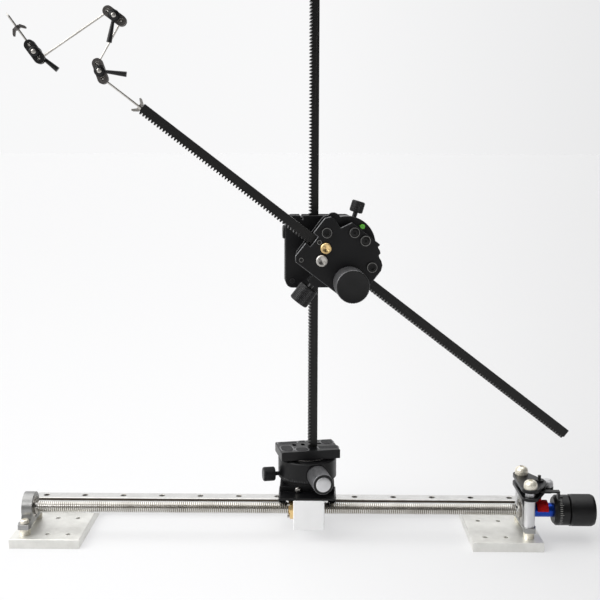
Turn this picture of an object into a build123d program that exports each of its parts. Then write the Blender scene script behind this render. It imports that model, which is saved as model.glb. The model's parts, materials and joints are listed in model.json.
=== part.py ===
from build123d import *
import os
from math import acos, atan, cos, pi, radians, sin, sqrt, tan

# Motion-control rig for tabletop animation: a screw-driven slider on a linear guide rail,
# a panning clamp with a toothed mast, and a toothed boom with a jointed rigging arm.
# Millimetres. +X runs along the rail towards the drive knob, +Y away from the front, +Z up.
# The origin is the centre of the base's bolt pattern, on the underside, below the screw axis.

# Base and rail
PLATE_INNER_X = 186.5
PLATE_OUTER_X = 253.5
PLATE_FRONT_Y = -35.0
PLATE_REAR_Y = 72.0
PLATE_THICKNESS = 9.0
BASE_HOLE_X = (200.0, 220.0)
BASE_HOLE_Y = 21.0
BASE_HOLE_RADIUS = 2.25
RAIL_LENGTH = 500.0
RAIL_WIDTH = 15.0
RAIL_HEIGHT = 10.0
RAIL_Y = 60.0
RAIL_CENTRE_X = -1.6
RAIL_HOLES = 13
RAIL_PITCH = 40.0
RAIL_SCREW_HOLES = (0, 1, 11, 12)
RAIL_BORE_RADIUS = 1.75
RAIL_COUNTERBORE_RADIUS = 3.0
RAIL_COUNTERBORE_DEPTH = 4.5

# Drive screw and its supports
SCREW_Z = 29.0
SCREW_RADIUS = 6.0
SCREW_PITCH = 2.0
SCREW_THREAD_END_X = 234.0
JOURNAL_RADIUS = 4.0
SCREW_START_X = -246.0
SCREW_END_X = 260.0
PILLOW_X = 241.5
PILLOW_WIDTH = 10.0
PILLOW_SPAN = 55.0
PILLOW_HOLE_Y = 21.0
PILLOW_FOOT = 5.0
PILLOW_BOSS_RADIUS = 6.2
PILLOW_RING_RADIUS = 14.5
BEARING_RADIUS = 10.5
BEARING_COLLAR_RADIUS = 7.5
SPACER_RADIUS = 5.2
SPACER_HEIGHT = 6.3
BOLT_RADIUS = 2.5
SLEEVE_RADIUS = 5.1
SLEEVE_TOP_Z = 47.0
BRIDGE_THICKNESS = 3.2
BRIDGE_END_RADIUS = 8.2
NUT_HEIGHT = 4.8
COUPLING_RADIUS = 6.8
COUPLING_START_X = 249.0
COUPLING_END_X = 270.5
DIAL_START_X = 268.4
DIAL_RADIUS = 14.7
KNOB_START_X = 282.4
KNOB_END_X = 308.2
KNOB_RADIUS = 15.4
BRAKE_X = 254.5
BRAKE_APEX_RADIUS = 6.5
SHOE_THICKNESS = 2.4
SHOE_CLEARANCE = 0.35
STOP_X = 264.0
STOP_Y = 8.5
STOP_RADIUS = 6.0
INDEX_START_X = 250.0
INDEX_END_X = 272.0
INDEX_Y = -9.7

# Carriage, at rest
CARRIAGE_X = 29.4
BLOCK_LENGTH = 58.8
BLOCK_CAP = 6.5
BLOCK_WIDTH = 32.0
BLOCK_BOTTOM_Z = 13.0
BLOCK_TOP_Z = 25.0
BRIDGE_HALF_X = 26.7
SKIRT_INNER_X = 20.6
SKIRT_FLARE = 1.4
SKIRT_FRONT_Y = 6.6
SKIRT_BOTTOM_Z = 30.5
BRIDGE_BOTTOM_Z = 41.8
BRIDGE_TOP_Z = 49.1
BRIDGE_FRONT_Y = 4.6
SHELF_FRONT_Y = -14.5
SHELF_TOP_Z = 43.8
NUT_X = 31.2
NUT_SIDE = 30.0
BRASS_FLANGE_RADIUS = 10.5
BRASS_FLANGE = 3.4
BRASS_SLEEVE_RADIUS = 8.0

# Panning clamp
PAN_Y = 29.5
PAN_RADIUS = 29.0
PAN_BASE_TOP_Z = 52.4
PAN_TOP_Z = 74.2
SPINDLE_RADIUS = 10.0
SPINDLE_TOP_Z = 69.0
PAN_YAW = 12.4
LOCK_OFFSET = 3.6
LOCK_Z = 61.4
LOCK_KNOB_RADIUS = 10.0
LOCK_KNOB_END = 56.5
CLAMP_Z = 56.4
CLAMP_KNOB_RADIUS = 7.0
CLAMP_KNOB_START = 33.0
CLAMP_KNOB_END = 45.0
STEM_RADIUS = 2.0
PLATE_LENGTH = 58.8
PLATE_DEPTH = 37.0
PLATE_TOP_Z = 83.0

# Racks and pinions, module 1
MODULE = 1.0
TOOTH_PITCH = pi * MODULE
RACK_TEETH = 159
RACK_LENGTH = 500.0
MAST_SECTION = 9.0
BOOM_SECTION = 10.0
PINION_TEETH = 12
PINION_PITCH_RADIUS = MODULE * PINION_TEETH / 2
PINION_WIDTH = 8.0
PINION_SHAFT_RADIUS = 3.0
PINION_BORE_RADIUS = 8.0
BACKLASH = 0.2
RUNNING_CLEARANCE = 0.05
SLIDING_CLEARANCE = 0.35

# Mast and boom placing
MAST_X = 34.4
MAST_Y = 30.0
HEAD_YAW = 4.5
BOOM_SLOPE = 37.6
BOOM_CROSS_Z = 289.8
BOOM_START_S = -198.7
BOOM_DEPTH = 49.0
MAST_PINION_TOOTH = 62
BOOM_PINION_TOOTH = 77

# Heads: each is a body with a channel for its rack, between two 4 mm plates
HEAD_PLATE = 4.0
HEAD_BODY = 14.0
HEAD_SHIFT_S = -2.5
HEAD_SHIFT_T = 3.2
SWIVEL_S = 25.7
SWIVEL_T = 12.3
SWIVEL_RADIUS = 26.8
SWIVEL_SPINDLE_RADIUS = 9.0
SWIVEL_BASE_RADIUS = 24.0
SWIVEL_SPLIT = 24.0
SWIVEL_LOCK_ANGLE = 20.6
HEAD_KNOB_RADIUS = 15.0
HEAD_KNOB_LENGTH = 31.0
BOOM_LOCK_S = 21.2
BOOM_LOCK_RADIUS = 9.2
BOOM_LOCK_START = 36.4
BOOM_LOCK_END = 53.8
MAST_PINCH_Z = 296.8
HEAD_LEFT = -27.5
HEAD_RIGHT = 38.0
HEAD_BOTTOM_Z = 243.8
HEAD_TOP_Z = 313.2
MAST_HEAD_SCREWS = ((-21.0, 250.5), (-21.0, 306.6), (31.5, 250.5), (31.5, 306.6))
SOCKET_SCREWS = ((1.5, 10.0), (53.8, 10.4))
BUTTON_SCREWS = ((21.2, 25.6), (33.8, 25.8))
SMALL_SCREWS = ((1.6, -0.8), (-1.8, -23.6))

# Rigging arm
ROD_RADIUS = 1.0
BALL_RADIUS = 2.4
PLATE_GAP = 3.2
JOINT_PLATE = 2.0
JOINT_WIDTH = 9.4
JOINT_HOLE_RADIUS = 1.85
LEVER_STUD_RADIUS = 1.2
LEVER_LENGTH = 23.5
NEEDLE_TAPER = 3.0

BOTTOM_UP = (Align.CENTER, Align.CENTER, Align.MIN)
INDEX_ALIGN = (Align.MIN, Align.CENTER, Align.MIN)


def level(z):
    """A horizontal plane at height z."""
    return Plane(origin=(0, 0, z), x_dir=(1, 0, 0), z_dir=(0, 0, 1))


def across(x):
    """A plane square to the rail: its own x is +Y and its own y is +Z."""
    return Plane(origin=(x, 0, 0), x_dir=(0, 1, 0), z_dir=(1, 0, 0))


def disc(plane, x, y, low, high, radius):
    """A cylinder square to a plane, between two distances from it."""
    return plane.location * Pos(x, y, low) * Cylinder(radius, high - low, align=BOTTOM_UP)


def slab(plane, sketch, low, high):
    """A sketch made solid between two distances from its plane."""
    return extrude(plane.offset(low) * sketch, amount=high - low)


def polygon(points):
    return make_face(Polyline(*points, close=True))


def hexagon(across_flats):
    return RegularPolygon(across_flats / sqrt(3), 6)


def bar(start, end, radius):
    """A round bar between two points."""
    line = Vector(*end) - Vector(*start)
    return Plane(origin=start, z_dir=line).location * Cylinder(radius, line.length, align=BOTTOM_UP)


def group(solids):
    """Separate solids kept in one node."""
    return Compound(children=[part.solid() if not isinstance(part, Solid) else part for part in solids])


def save(node, shape):
    export_step(shape, "parts/" + node + ".step")


# ---------------------------------------------------------------- base and rail

def base_plate(side):
    width = PLATE_OUTER_X - PLATE_INNER_X
    depth = PLATE_REAR_Y - PLATE_FRONT_Y
    centre_x = side * (PLATE_INNER_X + PLATE_OUTER_X) / 2
    centre_y = (PLATE_REAR_Y + PLATE_FRONT_Y) / 2
    plate = Pos(centre_x, centre_y, 0) * Box(width, depth, PLATE_THICKNESS, align=BOTTOM_UP)
    plate = chamfer(plate.edges().group_by(Axis.Z)[-1], 0.4)
    for x in BASE_HOLE_X:
        for y in (-BASE_HOLE_Y, BASE_HOLE_Y):
            plate -= disc(level(0), side * x, y, -1, PLATE_THICKNESS + 1, BASE_HOLE_RADIUS)
    for y in (-PILLOW_HOLE_Y, PILLOW_HOLE_Y):
        plate -= disc(level(0), side * PILLOW_X, y, 2, PLATE_THICKNESS + 1, BOLT_RADIUS)
    for index in RAIL_SCREW_HOLES:
        plate -= disc(level(0), rail_hole_x(index), RAIL_Y, 2, PLATE_THICKNESS + 1, 1.5)
    return plate


def rail_section():
    half = RAIL_WIDTH / 2
    waist = half - 1.1
    side = [(half, 0), (half, 3.2), (waist, 4.6), (waist, 6.2), (half, 7.6), (half, 9.4),
            (half - 0.6, RAIL_HEIGHT)]
    mirror = [(-y, z) for y, z in reversed(side)]
    return polygon(side + mirror)


def rail_hole_x(index):
    return RAIL_CENTRE_X + (index - (RAIL_HOLES - 1) / 2) * RAIL_PITCH


def guide_rail():
    plane = Plane(origin=(0, RAIL_Y, PLATE_THICKNESS), x_dir=(0, 1, 0), z_dir=(1, 0, 0))
    rail = slab(plane, rail_section(), RAIL_CENTRE_X - RAIL_LENGTH / 2, RAIL_CENTRE_X + RAIL_LENGTH / 2)
    top = PLATE_THICKNESS + RAIL_HEIGHT
    for index in range(RAIL_HOLES):
        x = rail_hole_x(index)
        rail -= disc(level(0), x, RAIL_Y, 0, top + 1, RAIL_BORE_RADIUS)
        rail -= disc(level(0), x, RAIL_Y, top - RAIL_COUNTERBORE_DEPTH, top + 1, RAIL_COUNTERBORE_RADIUS)
    return rail


def rail_screws():
    seat = PLATE_THICKNESS + RAIL_HEIGHT - RAIL_COUNTERBORE_DEPTH
    screws = []
    for index in RAIL_SCREW_HOLES:
        x = rail_hole_x(index)
        screw = disc(level(0), x, RAIL_Y, seat, seat + 3, 2.75)
        screw += disc(level(0), x, RAIL_Y, 2.5, seat, 1.5)
        screw -= slab(level(0), Pos(x, RAIL_Y) * hexagon(2.5), seat + 1.4, seat + 4)
        screws.append(screw)
    return group(screws)


# ---------------------------------------------------------------- screw supports

def pillow_spacers():
    spacers = []
    for side in (-1, 1):
        for y in (-PILLOW_HOLE_Y, PILLOW_HOLE_Y):
            top = PLATE_THICKNESS + SPACER_HEIGHT
            spacer = disc(level(0), side * PILLOW_X, y, PLATE_THICKNESS, top, SPACER_RADIUS)
            spacer -= disc(level(0), side * PILLOW_X, y, PLATE_THICKNESS - 1, top + 1, BOLT_RADIUS)
            spacers.append(spacer)
    return group(spacers)


def pillow_block(side):
    """A round housing on a thin foot with a boss round each bolt."""
    foot = PLATE_THICKNESS + SPACER_HEIGHT
    lug = foot + PILLOW_FOOT
    half = PILLOW_SPAN / 2
    plane = across(side * PILLOW_X)
    flank = PILLOW_RING_RADIUS + 1.0
    shoulder = PILLOW_RING_RADIUS * 0.96
    base = [(-half, foot), (half, foot), (half, lug), (flank, lug), (shoulder, SCREW_Z - 3),
            (-shoulder, SCREW_Z - 3), (-flank, lug), (-half, lug)]
    above_foot = Pos(0, foot) * Rectangle(80, 60, align=(Align.CENTER, Align.MIN))
    sketch = (polygon(base) + Pos(0, SCREW_Z) * Circle(PILLOW_RING_RADIUS)) & above_foot
    block = slab(plane, sketch, -PILLOW_WIDTH / 2, PILLOW_WIDTH / 2)
    for y in (-PILLOW_HOLE_Y, PILLOW_HOLE_Y):
        block += disc(level(0), side * PILLOW_X, y, foot, lug, PILLOW_BOSS_RADIUS)
        block -= disc(level(0), side * PILLOW_X, y, foot - 1, lug + 1, BOLT_RADIUS)
    return block - disc(plane, 0, SCREW_Z, -PILLOW_WIDTH, PILLOW_WIDTH, BEARING_RADIUS)


def screw_bearings():
    bearings = []
    for side in (-1, 1):
        plane = across(side * PILLOW_X)
        bearing = disc(plane, 0, SCREW_Z, -4.4, 4.4, BEARING_RADIUS)
        bearing += disc(plane, 0, SCREW_Z, -6.4, 6.4, BEARING_COLLAR_RADIUS)
        bearing -= disc(plane, 0, SCREW_Z, -8, 8, JOURNAL_RADIUS + RUNNING_CLEARANCE)
        bearings.append(bearing)
    return group(bearings)


def short_bolts():
    bolts = []
    seat = PLATE_THICKNESS + SPACER_HEIGHT + PILLOW_FOOT
    for y in (-PILLOW_HOLE_Y, PILLOW_HOLE_Y):
        bolt = disc(level(0), -PILLOW_X, y, 3, seat, BOLT_RADIUS)
        bolt += domed_head(-PILLOW_X, y, seat, 4.2, 3.6)
        bolts.append(bolt)
    return bolts


def domed_head(x, y, seat, radius, height):
    """A button head with a hexagon socket."""
    head = disc(level(0), x, y, seat, seat + height, radius)
    head = fillet(head.edges().group_by(Axis.Z)[-1], height * 0.6)
    return head - slab(level(0), Pos(x, y) * hexagon(radius * 0.62), seat + height * 0.45, seat + height + 1)


def tall_bolts():
    bolts = []
    seat = SLEEVE_TOP_Z + 2 * BRIDGE_THICKNESS + NUT_HEIGHT
    for y in (-PILLOW_HOLE_Y, PILLOW_HOLE_Y):
        bolt = disc(level(0), PILLOW_X, y, 3, seat, BOLT_RADIUS)
        bolt += domed_head(PILLOW_X, y, seat, 6.4, 8.0)
        bolts.append(bolt)
    return bolts


def standoffs():
    """Long sleeves under the bridge plates, the nuts between them and a pale stop on the lower one."""
    solids = []
    low = PLATE_THICKNESS + SPACER_HEIGHT + PILLOW_FOOT
    nut_low = SLEEVE_TOP_Z + BRIDGE_THICKNESS
    for y in (-PILLOW_HOLE_Y, PILLOW_HOLE_Y):
        sleeve = disc(level(0), PILLOW_X, y, low, SLEEVE_TOP_Z, SLEEVE_RADIUS)
        solids.append(sleeve - disc(level(0), PILLOW_X, y, low - 1, SLEEVE_TOP_Z + 1, BOLT_RADIUS))
        nut = slab(level(0), Pos(PILLOW_X, y) * hexagon(8), nut_low, nut_low + NUT_HEIGHT)
        solids.append(nut - disc(level(0), PILLOW_X, y, nut_low - 1, nut_low + NUT_HEIGHT + 1, BOLT_RADIUS))
    stop = disc(level(0), STOP_X, STOP_Y, nut_low, nut_low + 6.6, STOP_RADIUS)
    solids.append(fillet(stop.edges().group_by(Axis.Z)[-1], 4.0))
    return group(solids)


def bridge_outline():
    """A rounded triangle over both bolts and the brake's spindle."""
    ends = Pos(PILLOW_X, -PILLOW_HOLE_Y) * Circle(BRIDGE_END_RADIUS)
    ends += Pos(PILLOW_X, PILLOW_HOLE_Y) * Circle(BRIDGE_END_RADIUS)
    return make_hull((ends + Pos(BRAKE_X, 0) * Circle(BRAKE_APEX_RADIUS)).edges())


def bridge_plate(low, outline):
    plate = slab(level(0), outline, low, low + BRIDGE_THICKNESS)
    for y in (-PILLOW_HOLE_Y, PILLOW_HOLE_Y):
        plate -= disc(level(0), PILLOW_X, y, low - 1, low + BRIDGE_THICKNESS + 1, BOLT_RADIUS)
    return plate - disc(level(0), BRAKE_X, 0, low - 1, low + BRIDGE_THICKNESS + 1, 3.0)


def bridge_plates():
    """Two plates over the sleeves, with nuts between them."""
    lower = bridge_outline() + Pos(STOP_X, STOP_Y) * Circle(STOP_RADIUS + 0.4)
    lower += Pos(BRAKE_X, 2.0) * Rectangle(11, 13, align=(Align.MIN, Align.CENTER))
    return group([bridge_plate(SLEEVE_TOP_Z, lower),
                  bridge_plate(SLEEVE_TOP_Z + BRIDGE_THICKNESS + NUT_HEIGHT, bridge_outline())])


def brake_spindle():
    """A turned post held by both bridge plates, with a finger pin in its top."""
    between = SLEEVE_TOP_Z + BRIDGE_THICKNESS
    top = between + NUT_HEIGHT + BRIDGE_THICKNESS
    post = disc(level(0), BRAKE_X, 0, SLEEVE_TOP_Z - 1.6, top + 0.2, 3.0 - RUNNING_CLEARANCE)
    post += disc(level(0), BRAKE_X, 0, between + 0.1, between + NUT_HEIGHT - 0.1, BRAKE_APEX_RADIUS - 0.1)
    post += disc(level(0), BRAKE_X, 0, top + 0.2, top + 1.6, 4.2)
    return post + disc(level(0), BRAKE_X, 0, top + 1.6, top + 5.6, 1.5)


def brake_shoe():
    """A felt shoe that wraps over the top and front of the coupling, under the lower bridge plate."""
    plane = across(BRAKE_X)
    inner_radius = COUPLING_RADIUS + SHOE_CLEARANCE
    outer = Pos(0, SCREW_Z) * Circle(inner_radius + SHOE_THICKNESS)
    inner = Pos(0, SCREW_Z) * Circle(inner_radius)
    keep = Pos(-3.0, SCREW_Z + 1.2) * Rectangle(20, 20, align=(Align.CENTER, Align.MIN))
    shoe = slab(plane, (outer - inner) & keep, -2.2, 8.2)
    neck = disc(level(0), BRAKE_X, 0, SCREW_Z + COUPLING_RADIUS, SLEEVE_TOP_Z - 2, 2.6)
    return shoe + (neck - disc(plane, 0, SCREW_Z, -9, 9, inner_radius))


def index_arm():
    """A strip on the lower bridge plate that is hooked down over the dial, and its pointer."""
    low = SLEEVE_TOP_Z + BRIDGE_THICKNESS
    high = low + 1.6
    foot = SCREW_Z + DIAL_RADIUS + 0.5
    strip = Pos(INDEX_START_X, INDEX_Y, low) * Box(INDEX_END_X - INDEX_START_X, 5.6, 1.6, align=INDEX_ALIGN)
    hook = Pos(INDEX_END_X - 2, INDEX_Y, foot) * Box(2, 5.6, high - foot, align=INDEX_ALIGN)
    tip = Pos(INDEX_END_X, INDEX_Y, foot) * Box(3, 3, 2.2, align=INDEX_ALIGN)
    return strip + hook + tip


# ---------------------------------------------------------------- drive screw

def lead_screw():
    """The threaded length between the bearings, and a plain journal at each end."""
    plane = across(0)
    screw = disc(plane, 0, SCREW_Z, -SCREW_THREAD_END_X, SCREW_THREAD_END_X, SCREW_RADIUS)
    screw = chamfer(screw.edges(), 0.6)
    return screw + disc(plane, 0, SCREW_Z, SCREW_START_X, SCREW_END_X, JOURNAL_RADIUS)


def shaft_coupling():
    plane = across(0)
    coupling = disc(plane, 0, SCREW_Z, COUPLING_START_X, COUPLING_END_X, COUPLING_RADIUS)
    coupling = chamfer(coupling.edges(), 0.5)
    return coupling - disc(plane, 0, SCREW_Z, COUPLING_START_X - 1, SCREW_END_X, JOURNAL_RADIUS)


def dial_collar():
    """A collar with a bevelled face, round the coupling's end."""
    plane = across(0)
    dial = disc(plane, 0, SCREW_Z, DIAL_START_X, KNOB_START_X, DIAL_RADIUS)
    dial = chamfer(dial.edges().group_by(Axis.X)[0], 2.4)
    return dial - disc(plane, 0, SCREW_Z, DIAL_START_X - 1, COUPLING_END_X, COUPLING_RADIUS)


def drive_knob():
    plane = across(0)
    knob = disc(plane, 0, SCREW_Z, KNOB_START_X, KNOB_END_X, KNOB_RADIUS)
    return fillet(knob.edges().group_by(Axis.X)[-1], 4.0)


# ---------------------------------------------------------------- carriage

def rail_block():
    plane = Plane(origin=(CARRIAGE_X, RAIL_Y, 0), x_dir=(0, 1, 0), z_dir=(1, 0, 0))
    half = BLOCK_LENGTH / 2 - BLOCK_CAP
    height = BLOCK_TOP_Z - BLOCK_BOTTOM_Z
    sketch = Pos(0, BLOCK_BOTTOM_Z) * Rectangle(BLOCK_WIDTH, height, align=(Align.CENTER, Align.MIN))
    return slab(plane, sketch - rail_channel(SLIDING_CLEARANCE), -half, half)


def rail_channel(clearance):
    high = PLATE_THICKNESS + RAIL_HEIGHT + clearance
    return Pos(0, BLOCK_BOTTOM_Z - 1) * Rectangle(RAIL_WIDTH + 2 * clearance, high - BLOCK_BOTTOM_Z + 1,
                                                  align=(Align.CENTER, Align.MIN))


def block_end_caps():
    plane = Plane(origin=(CARRIAGE_X, RAIL_Y, 0), x_dir=(0, 1, 0), z_dir=(1, 0, 0))
    outline = Pos(0, BLOCK_BOTTOM_Z + 0.3) * Rectangle(BLOCK_WIDTH - 1, BLOCK_TOP_Z - BLOCK_BOTTOM_Z - 0.8,
                                                       align=(Align.CENTER, Align.MIN))
    inner = BLOCK_LENGTH / 2 - BLOCK_CAP
    caps = []
    for low in (-BLOCK_LENGTH / 2, inner):
        caps.append(slab(plane, outline - rail_channel(SLIDING_CLEARANCE), low, low + BLOCK_CAP))
    return group(caps)


def carriage_bridge():
    """One machined piece: a riser on the rail block, a top plate, a shelf and two side skirts."""
    rear = RAIL_Y + BLOCK_WIDTH / 2
    riser_front = RAIL_Y - BLOCK_WIDTH / 2
    bridge = bridge_box(BRIDGE_FRONT_Y, rear, BRIDGE_BOTTOM_Z, BRIDGE_TOP_Z)
    bridge += bridge_box(riser_front, rear, BLOCK_TOP_Z, BRIDGE_BOTTOM_Z)
    bridge += bridge_box(SHELF_FRONT_Y, BRIDGE_FRONT_Y + 1, BRIDGE_BOTTOM_Z, SHELF_TOP_Z)
    skirt_top = BRIDGE_BOTTOM_Z + 1
    plane = Plane(origin=(CARRIAGE_X, riser_front + 1, 0), x_dir=(1, 0, 0), z_dir=(0, -1, 0))
    for side in (-1, 1):
        profile = polygon([(side * SKIRT_INNER_X, SKIRT_BOTTOM_Z),
                           (side * (BRIDGE_HALF_X + SKIRT_FLARE), SKIRT_BOTTOM_Z),
                           (side * BRIDGE_HALF_X, skirt_top), (side * SKIRT_INNER_X, skirt_top)])
        bridge += slab(plane, profile, 0, riser_front + 1 - SKIRT_FRONT_Y)
    return bridge


def bridge_box(front, rear, low, high):
    """A box as wide as the bridge."""
    box = Box(2 * BRIDGE_HALF_X, rear - front, high - low, align=(Align.CENTER, Align.MIN, Align.MIN))
    return Pos(CARRIAGE_X, front, low) * box


def nut_housing():
    low = BRIDGE_BOTTOM_Z - NUT_SIDE
    housing = Pos(NUT_X, 0, low) * Box(NUT_SIDE, NUT_SIDE, NUT_SIDE, align=BOTTOM_UP)
    housing = fillet(housing.edges(), 0.8)
    plane = across(NUT_X)
    housing -= disc(plane, 0, SCREW_Z, -NUT_SIDE, NUT_SIDE, SCREW_RADIUS + 0.6)
    return housing - disc(plane, 0, SCREW_Z, -NUT_SIDE, 0, BRASS_SLEEVE_RADIUS)


def lead_nut():
    """A brass flange against the housing, with a sleeve inside it and a short boss outside."""
    plane = across(NUT_X - NUT_SIDE / 2)
    nut = disc(plane, 0, SCREW_Z, -BRASS_FLANGE, 0, BRASS_FLANGE_RADIUS)
    nut += disc(plane, 0, SCREW_Z, 0, 13, BRASS_SLEEVE_RADIUS)
    nut += disc(plane, 0, SCREW_Z, -BRASS_FLANGE - 1.2, -BRASS_FLANGE, SCREW_RADIUS + 0.7)
    return nut - disc(plane, 0, SCREW_Z, -9, 30, SCREW_RADIUS + RUNNING_CLEARANCE)


def carriage_screws():
    """Four caps in the brass flange and one button-head screw in the bridge's front face."""
    flange_plane = across(NUT_X - NUT_SIDE / 2)
    low = -BRASS_FLANGE - 2.4
    screws = []
    for angle in (45, 135, 225, 315):
        y = 8.6 * cos(radians(angle))
        z = SCREW_Z + 8.6 * sin(radians(angle))
        screws.append(disc(flange_plane, y, z, low, -BRASS_FLANGE, 1.5))
    front = Plane(origin=(0, BRIDGE_FRONT_Y, 0), x_dir=(1, 0, 0), z_dir=(0, -1, 0))
    screws.append(disc(front, CARRIAGE_X - 9.1, SHELF_TOP_Z + 2.7, 0, 2.6, 2.5))
    return group(screws)


# ---------------------------------------------------------------- panning clamp

def pan_side(angle, offset, z):
    """A plane on the drum's axis whose own z points out sideways, at an angle from the clamp's own +X."""
    turn = radians(PAN_YAW + angle)
    out = (cos(turn), sin(turn), 0)
    across_out = (-sin(turn), cos(turn), 0)
    origin = (CARRIAGE_X + offset * across_out[0], PAN_Y + offset * across_out[1], z)
    return Plane(origin=origin, x_dir=across_out, z_dir=out)


LOCK_PLANE = pan_side(-90, LOCK_OFFSET, LOCK_Z)
CLAMP_PLANE = pan_side(180, 0, CLAMP_Z)
CLAMP_TOP = Plane(origin=(CARRIAGE_X, PAN_Y, 0), x_dir=(cos(radians(PAN_YAW)), sin(radians(PAN_YAW)), 0),
                  z_dir=(0, 0, 1))


def pan_base():
    base = disc(level(0), CARRIAGE_X, PAN_Y, BRIDGE_TOP_Z, PAN_BASE_TOP_Z, PAN_RADIUS - 3.4)
    return base + disc(level(0), CARRIAGE_X, PAN_Y, PAN_BASE_TOP_Z, SPINDLE_TOP_Z, SPINDLE_RADIUS)


def pan_drum():
    drum = disc(level(0), CARRIAGE_X, PAN_Y, PAN_BASE_TOP_Z + 0.3, PAN_TOP_Z - 1.5, PAN_RADIUS)
    drum = chamfer(drum.edges(), 0.8)
    drum += disc(level(0), CARRIAGE_X, PAN_Y, PAN_TOP_Z - 1.5, PAN_TOP_Z, PAN_RADIUS - 8)
    bore = SPINDLE_RADIUS + RUNNING_CLEARANCE
    drum -= disc(level(0), CARRIAGE_X, PAN_Y, PAN_BASE_TOP_Z, SPINDLE_TOP_Z + 0.5, bore)
    for plane in (LOCK_PLANE, CLAMP_PLANE):
        drum -= disc(plane, 0, 0, SPINDLE_RADIUS, PAN_RADIUS + 2, STEM_RADIUS + RUNNING_CLEARANCE)
    drum -= disc(LOCK_PLANE, 0, 0, PAN_RADIUS - 3.0, PAN_RADIUS + 2, LOCK_KNOB_RADIUS + 0.6)
    return drum


def pan_lock_knob():
    knob = disc(LOCK_PLANE, 0, 0, PAN_RADIUS - 2.6, LOCK_KNOB_END, LOCK_KNOB_RADIUS)
    knob = chamfer(knob.edges(), 1.2)
    return knob + disc(LOCK_PLANE, 0, 0, SPINDLE_RADIUS + 0.6, PAN_RADIUS - 2.6, STEM_RADIUS)


def clamp_knob():
    knob = disc(CLAMP_PLANE, 0, 0, CLAMP_KNOB_START, CLAMP_KNOB_END, CLAMP_KNOB_RADIUS)
    knob = chamfer(knob.edges(), 0.8)
    return knob + disc(CLAMP_PLANE, 0, 0, SPINDLE_RADIUS + 3, CLAMP_KNOB_START, STEM_RADIUS)


def quick_plate():
    """The clamped plate, with a camera-screw hole and slots through it."""
    outline = RectangleRounded(PLATE_LENGTH, PLATE_DEPTH, 1.2)
    plate = slab(CLAMP_TOP, outline, PAN_TOP_Z, PLATE_TOP_Z)
    plate = chamfer(plate.edges().group_by(Axis.Z)[-1], 0.7)
    slots = Pos(13.4, 5) * SlotOverall(5.5, 3.2)
    for x in (-12.2, -3.4):
        slots += Pos(x, 5) * SlotOverall(6.5, 4.0, rotation=90)
    return plate - slab(CLAMP_TOP, slots, PAN_TOP_Z - 1, PLATE_TOP_Z + 1)


# ---------------------------------------------------------------- racks and pinions

YAW = radians(HEAD_YAW)
SLOPE = radians(BOOM_SLOPE)
SIDE = Vector(cos(YAW), sin(YAW), 0)
FRONT = Vector(sin(YAW), -cos(YAW), 0)
# Own x runs sideways, own y runs up and own z points to the front, from the mast's axis.
MAST = Plane(origin=(MAST_X, MAST_Y, 0), x_dir=SIDE, z_dir=FRONT)
# Own x runs down the boom and own y points up and to the right of it.
BOOM = Plane(origin=(MAST_X, MAST_Y, BOOM_CROSS_Z),
             x_dir=SIDE * cos(SLOPE) - Vector(0, 0, sin(SLOPE)), z_dir=FRONT)
# The boom head's own plane: its outlines are centred a little above the boom.
HEAD = Plane(origin=BOOM.from_local_coords(Vector(HEAD_SHIFT_S, HEAD_SHIFT_T, 0)),
             x_dir=BOOM.x_dir, z_dir=FRONT)
MAST_PINION_X = -MAST_SECTION / 2 + MODULE - PINION_PITCH_RADIUS
MAST_PINION_Z = PLATE_TOP_Z + MAST_PINION_TOOTH * TOOTH_PITCH
BOOM_PINION_S = BOOM_START_S + BOOM_PINION_TOOTH * TOOTH_PITCH
BOOM_PINION_T = -BOOM_SECTION / 2 + MODULE - PINION_PITCH_RADIUS


def rack_outline(section):
    """A bar along +X with its teeth on the lower side, the first tooth half a pitch from the end."""
    tip = -section / 2
    root = tip + 2.25 * MODULE
    lean = tan(radians(20))
    half_at_pitch = TOOTH_PITCH / 4 - BACKLASH / 2
    half_tip = half_at_pitch - lean * MODULE
    half_root = half_at_pitch + lean * 1.25 * MODULE
    points = [(0, section / 2), (0, root)]
    for index in range(RACK_TEETH):
        centre = (index + 0.5) * TOOTH_PITCH
        points += [(centre - half_root, root), (centre - half_tip, tip), (centre + half_tip, tip),
                   (centre + half_root, root)]
    points += [(RACK_LENGTH, root), (RACK_LENGTH, section / 2)]
    return polygon(points)


def mast_rack():
    along = Plane(origin=(MAST_X, MAST_Y, PLATE_TOP_Z), x_dir=(0, 0, 1), z_dir=-FRONT)
    return slab(along, rack_outline(MAST_SECTION), -MAST_SECTION / 2, MAST_SECTION / 2)


def boom_rack():
    along = Plane(origin=BOOM.from_local_coords((BOOM_START_S, 0, 0)), x_dir=BOOM.x_dir, z_dir=FRONT)
    half = BOOM_SECTION / 2
    rack = slab(along, rack_outline(BOOM_SECTION), BOOM_DEPTH - half, BOOM_DEPTH + half)
    mouth = boom_point(BOOM_START_S - 1, 0, BOOM_DEPTH)
    return rack - bar(mouth, boom_point(BOOM_START_S + 12, 0, BOOM_DEPTH), ROD_RADIUS)


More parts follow.
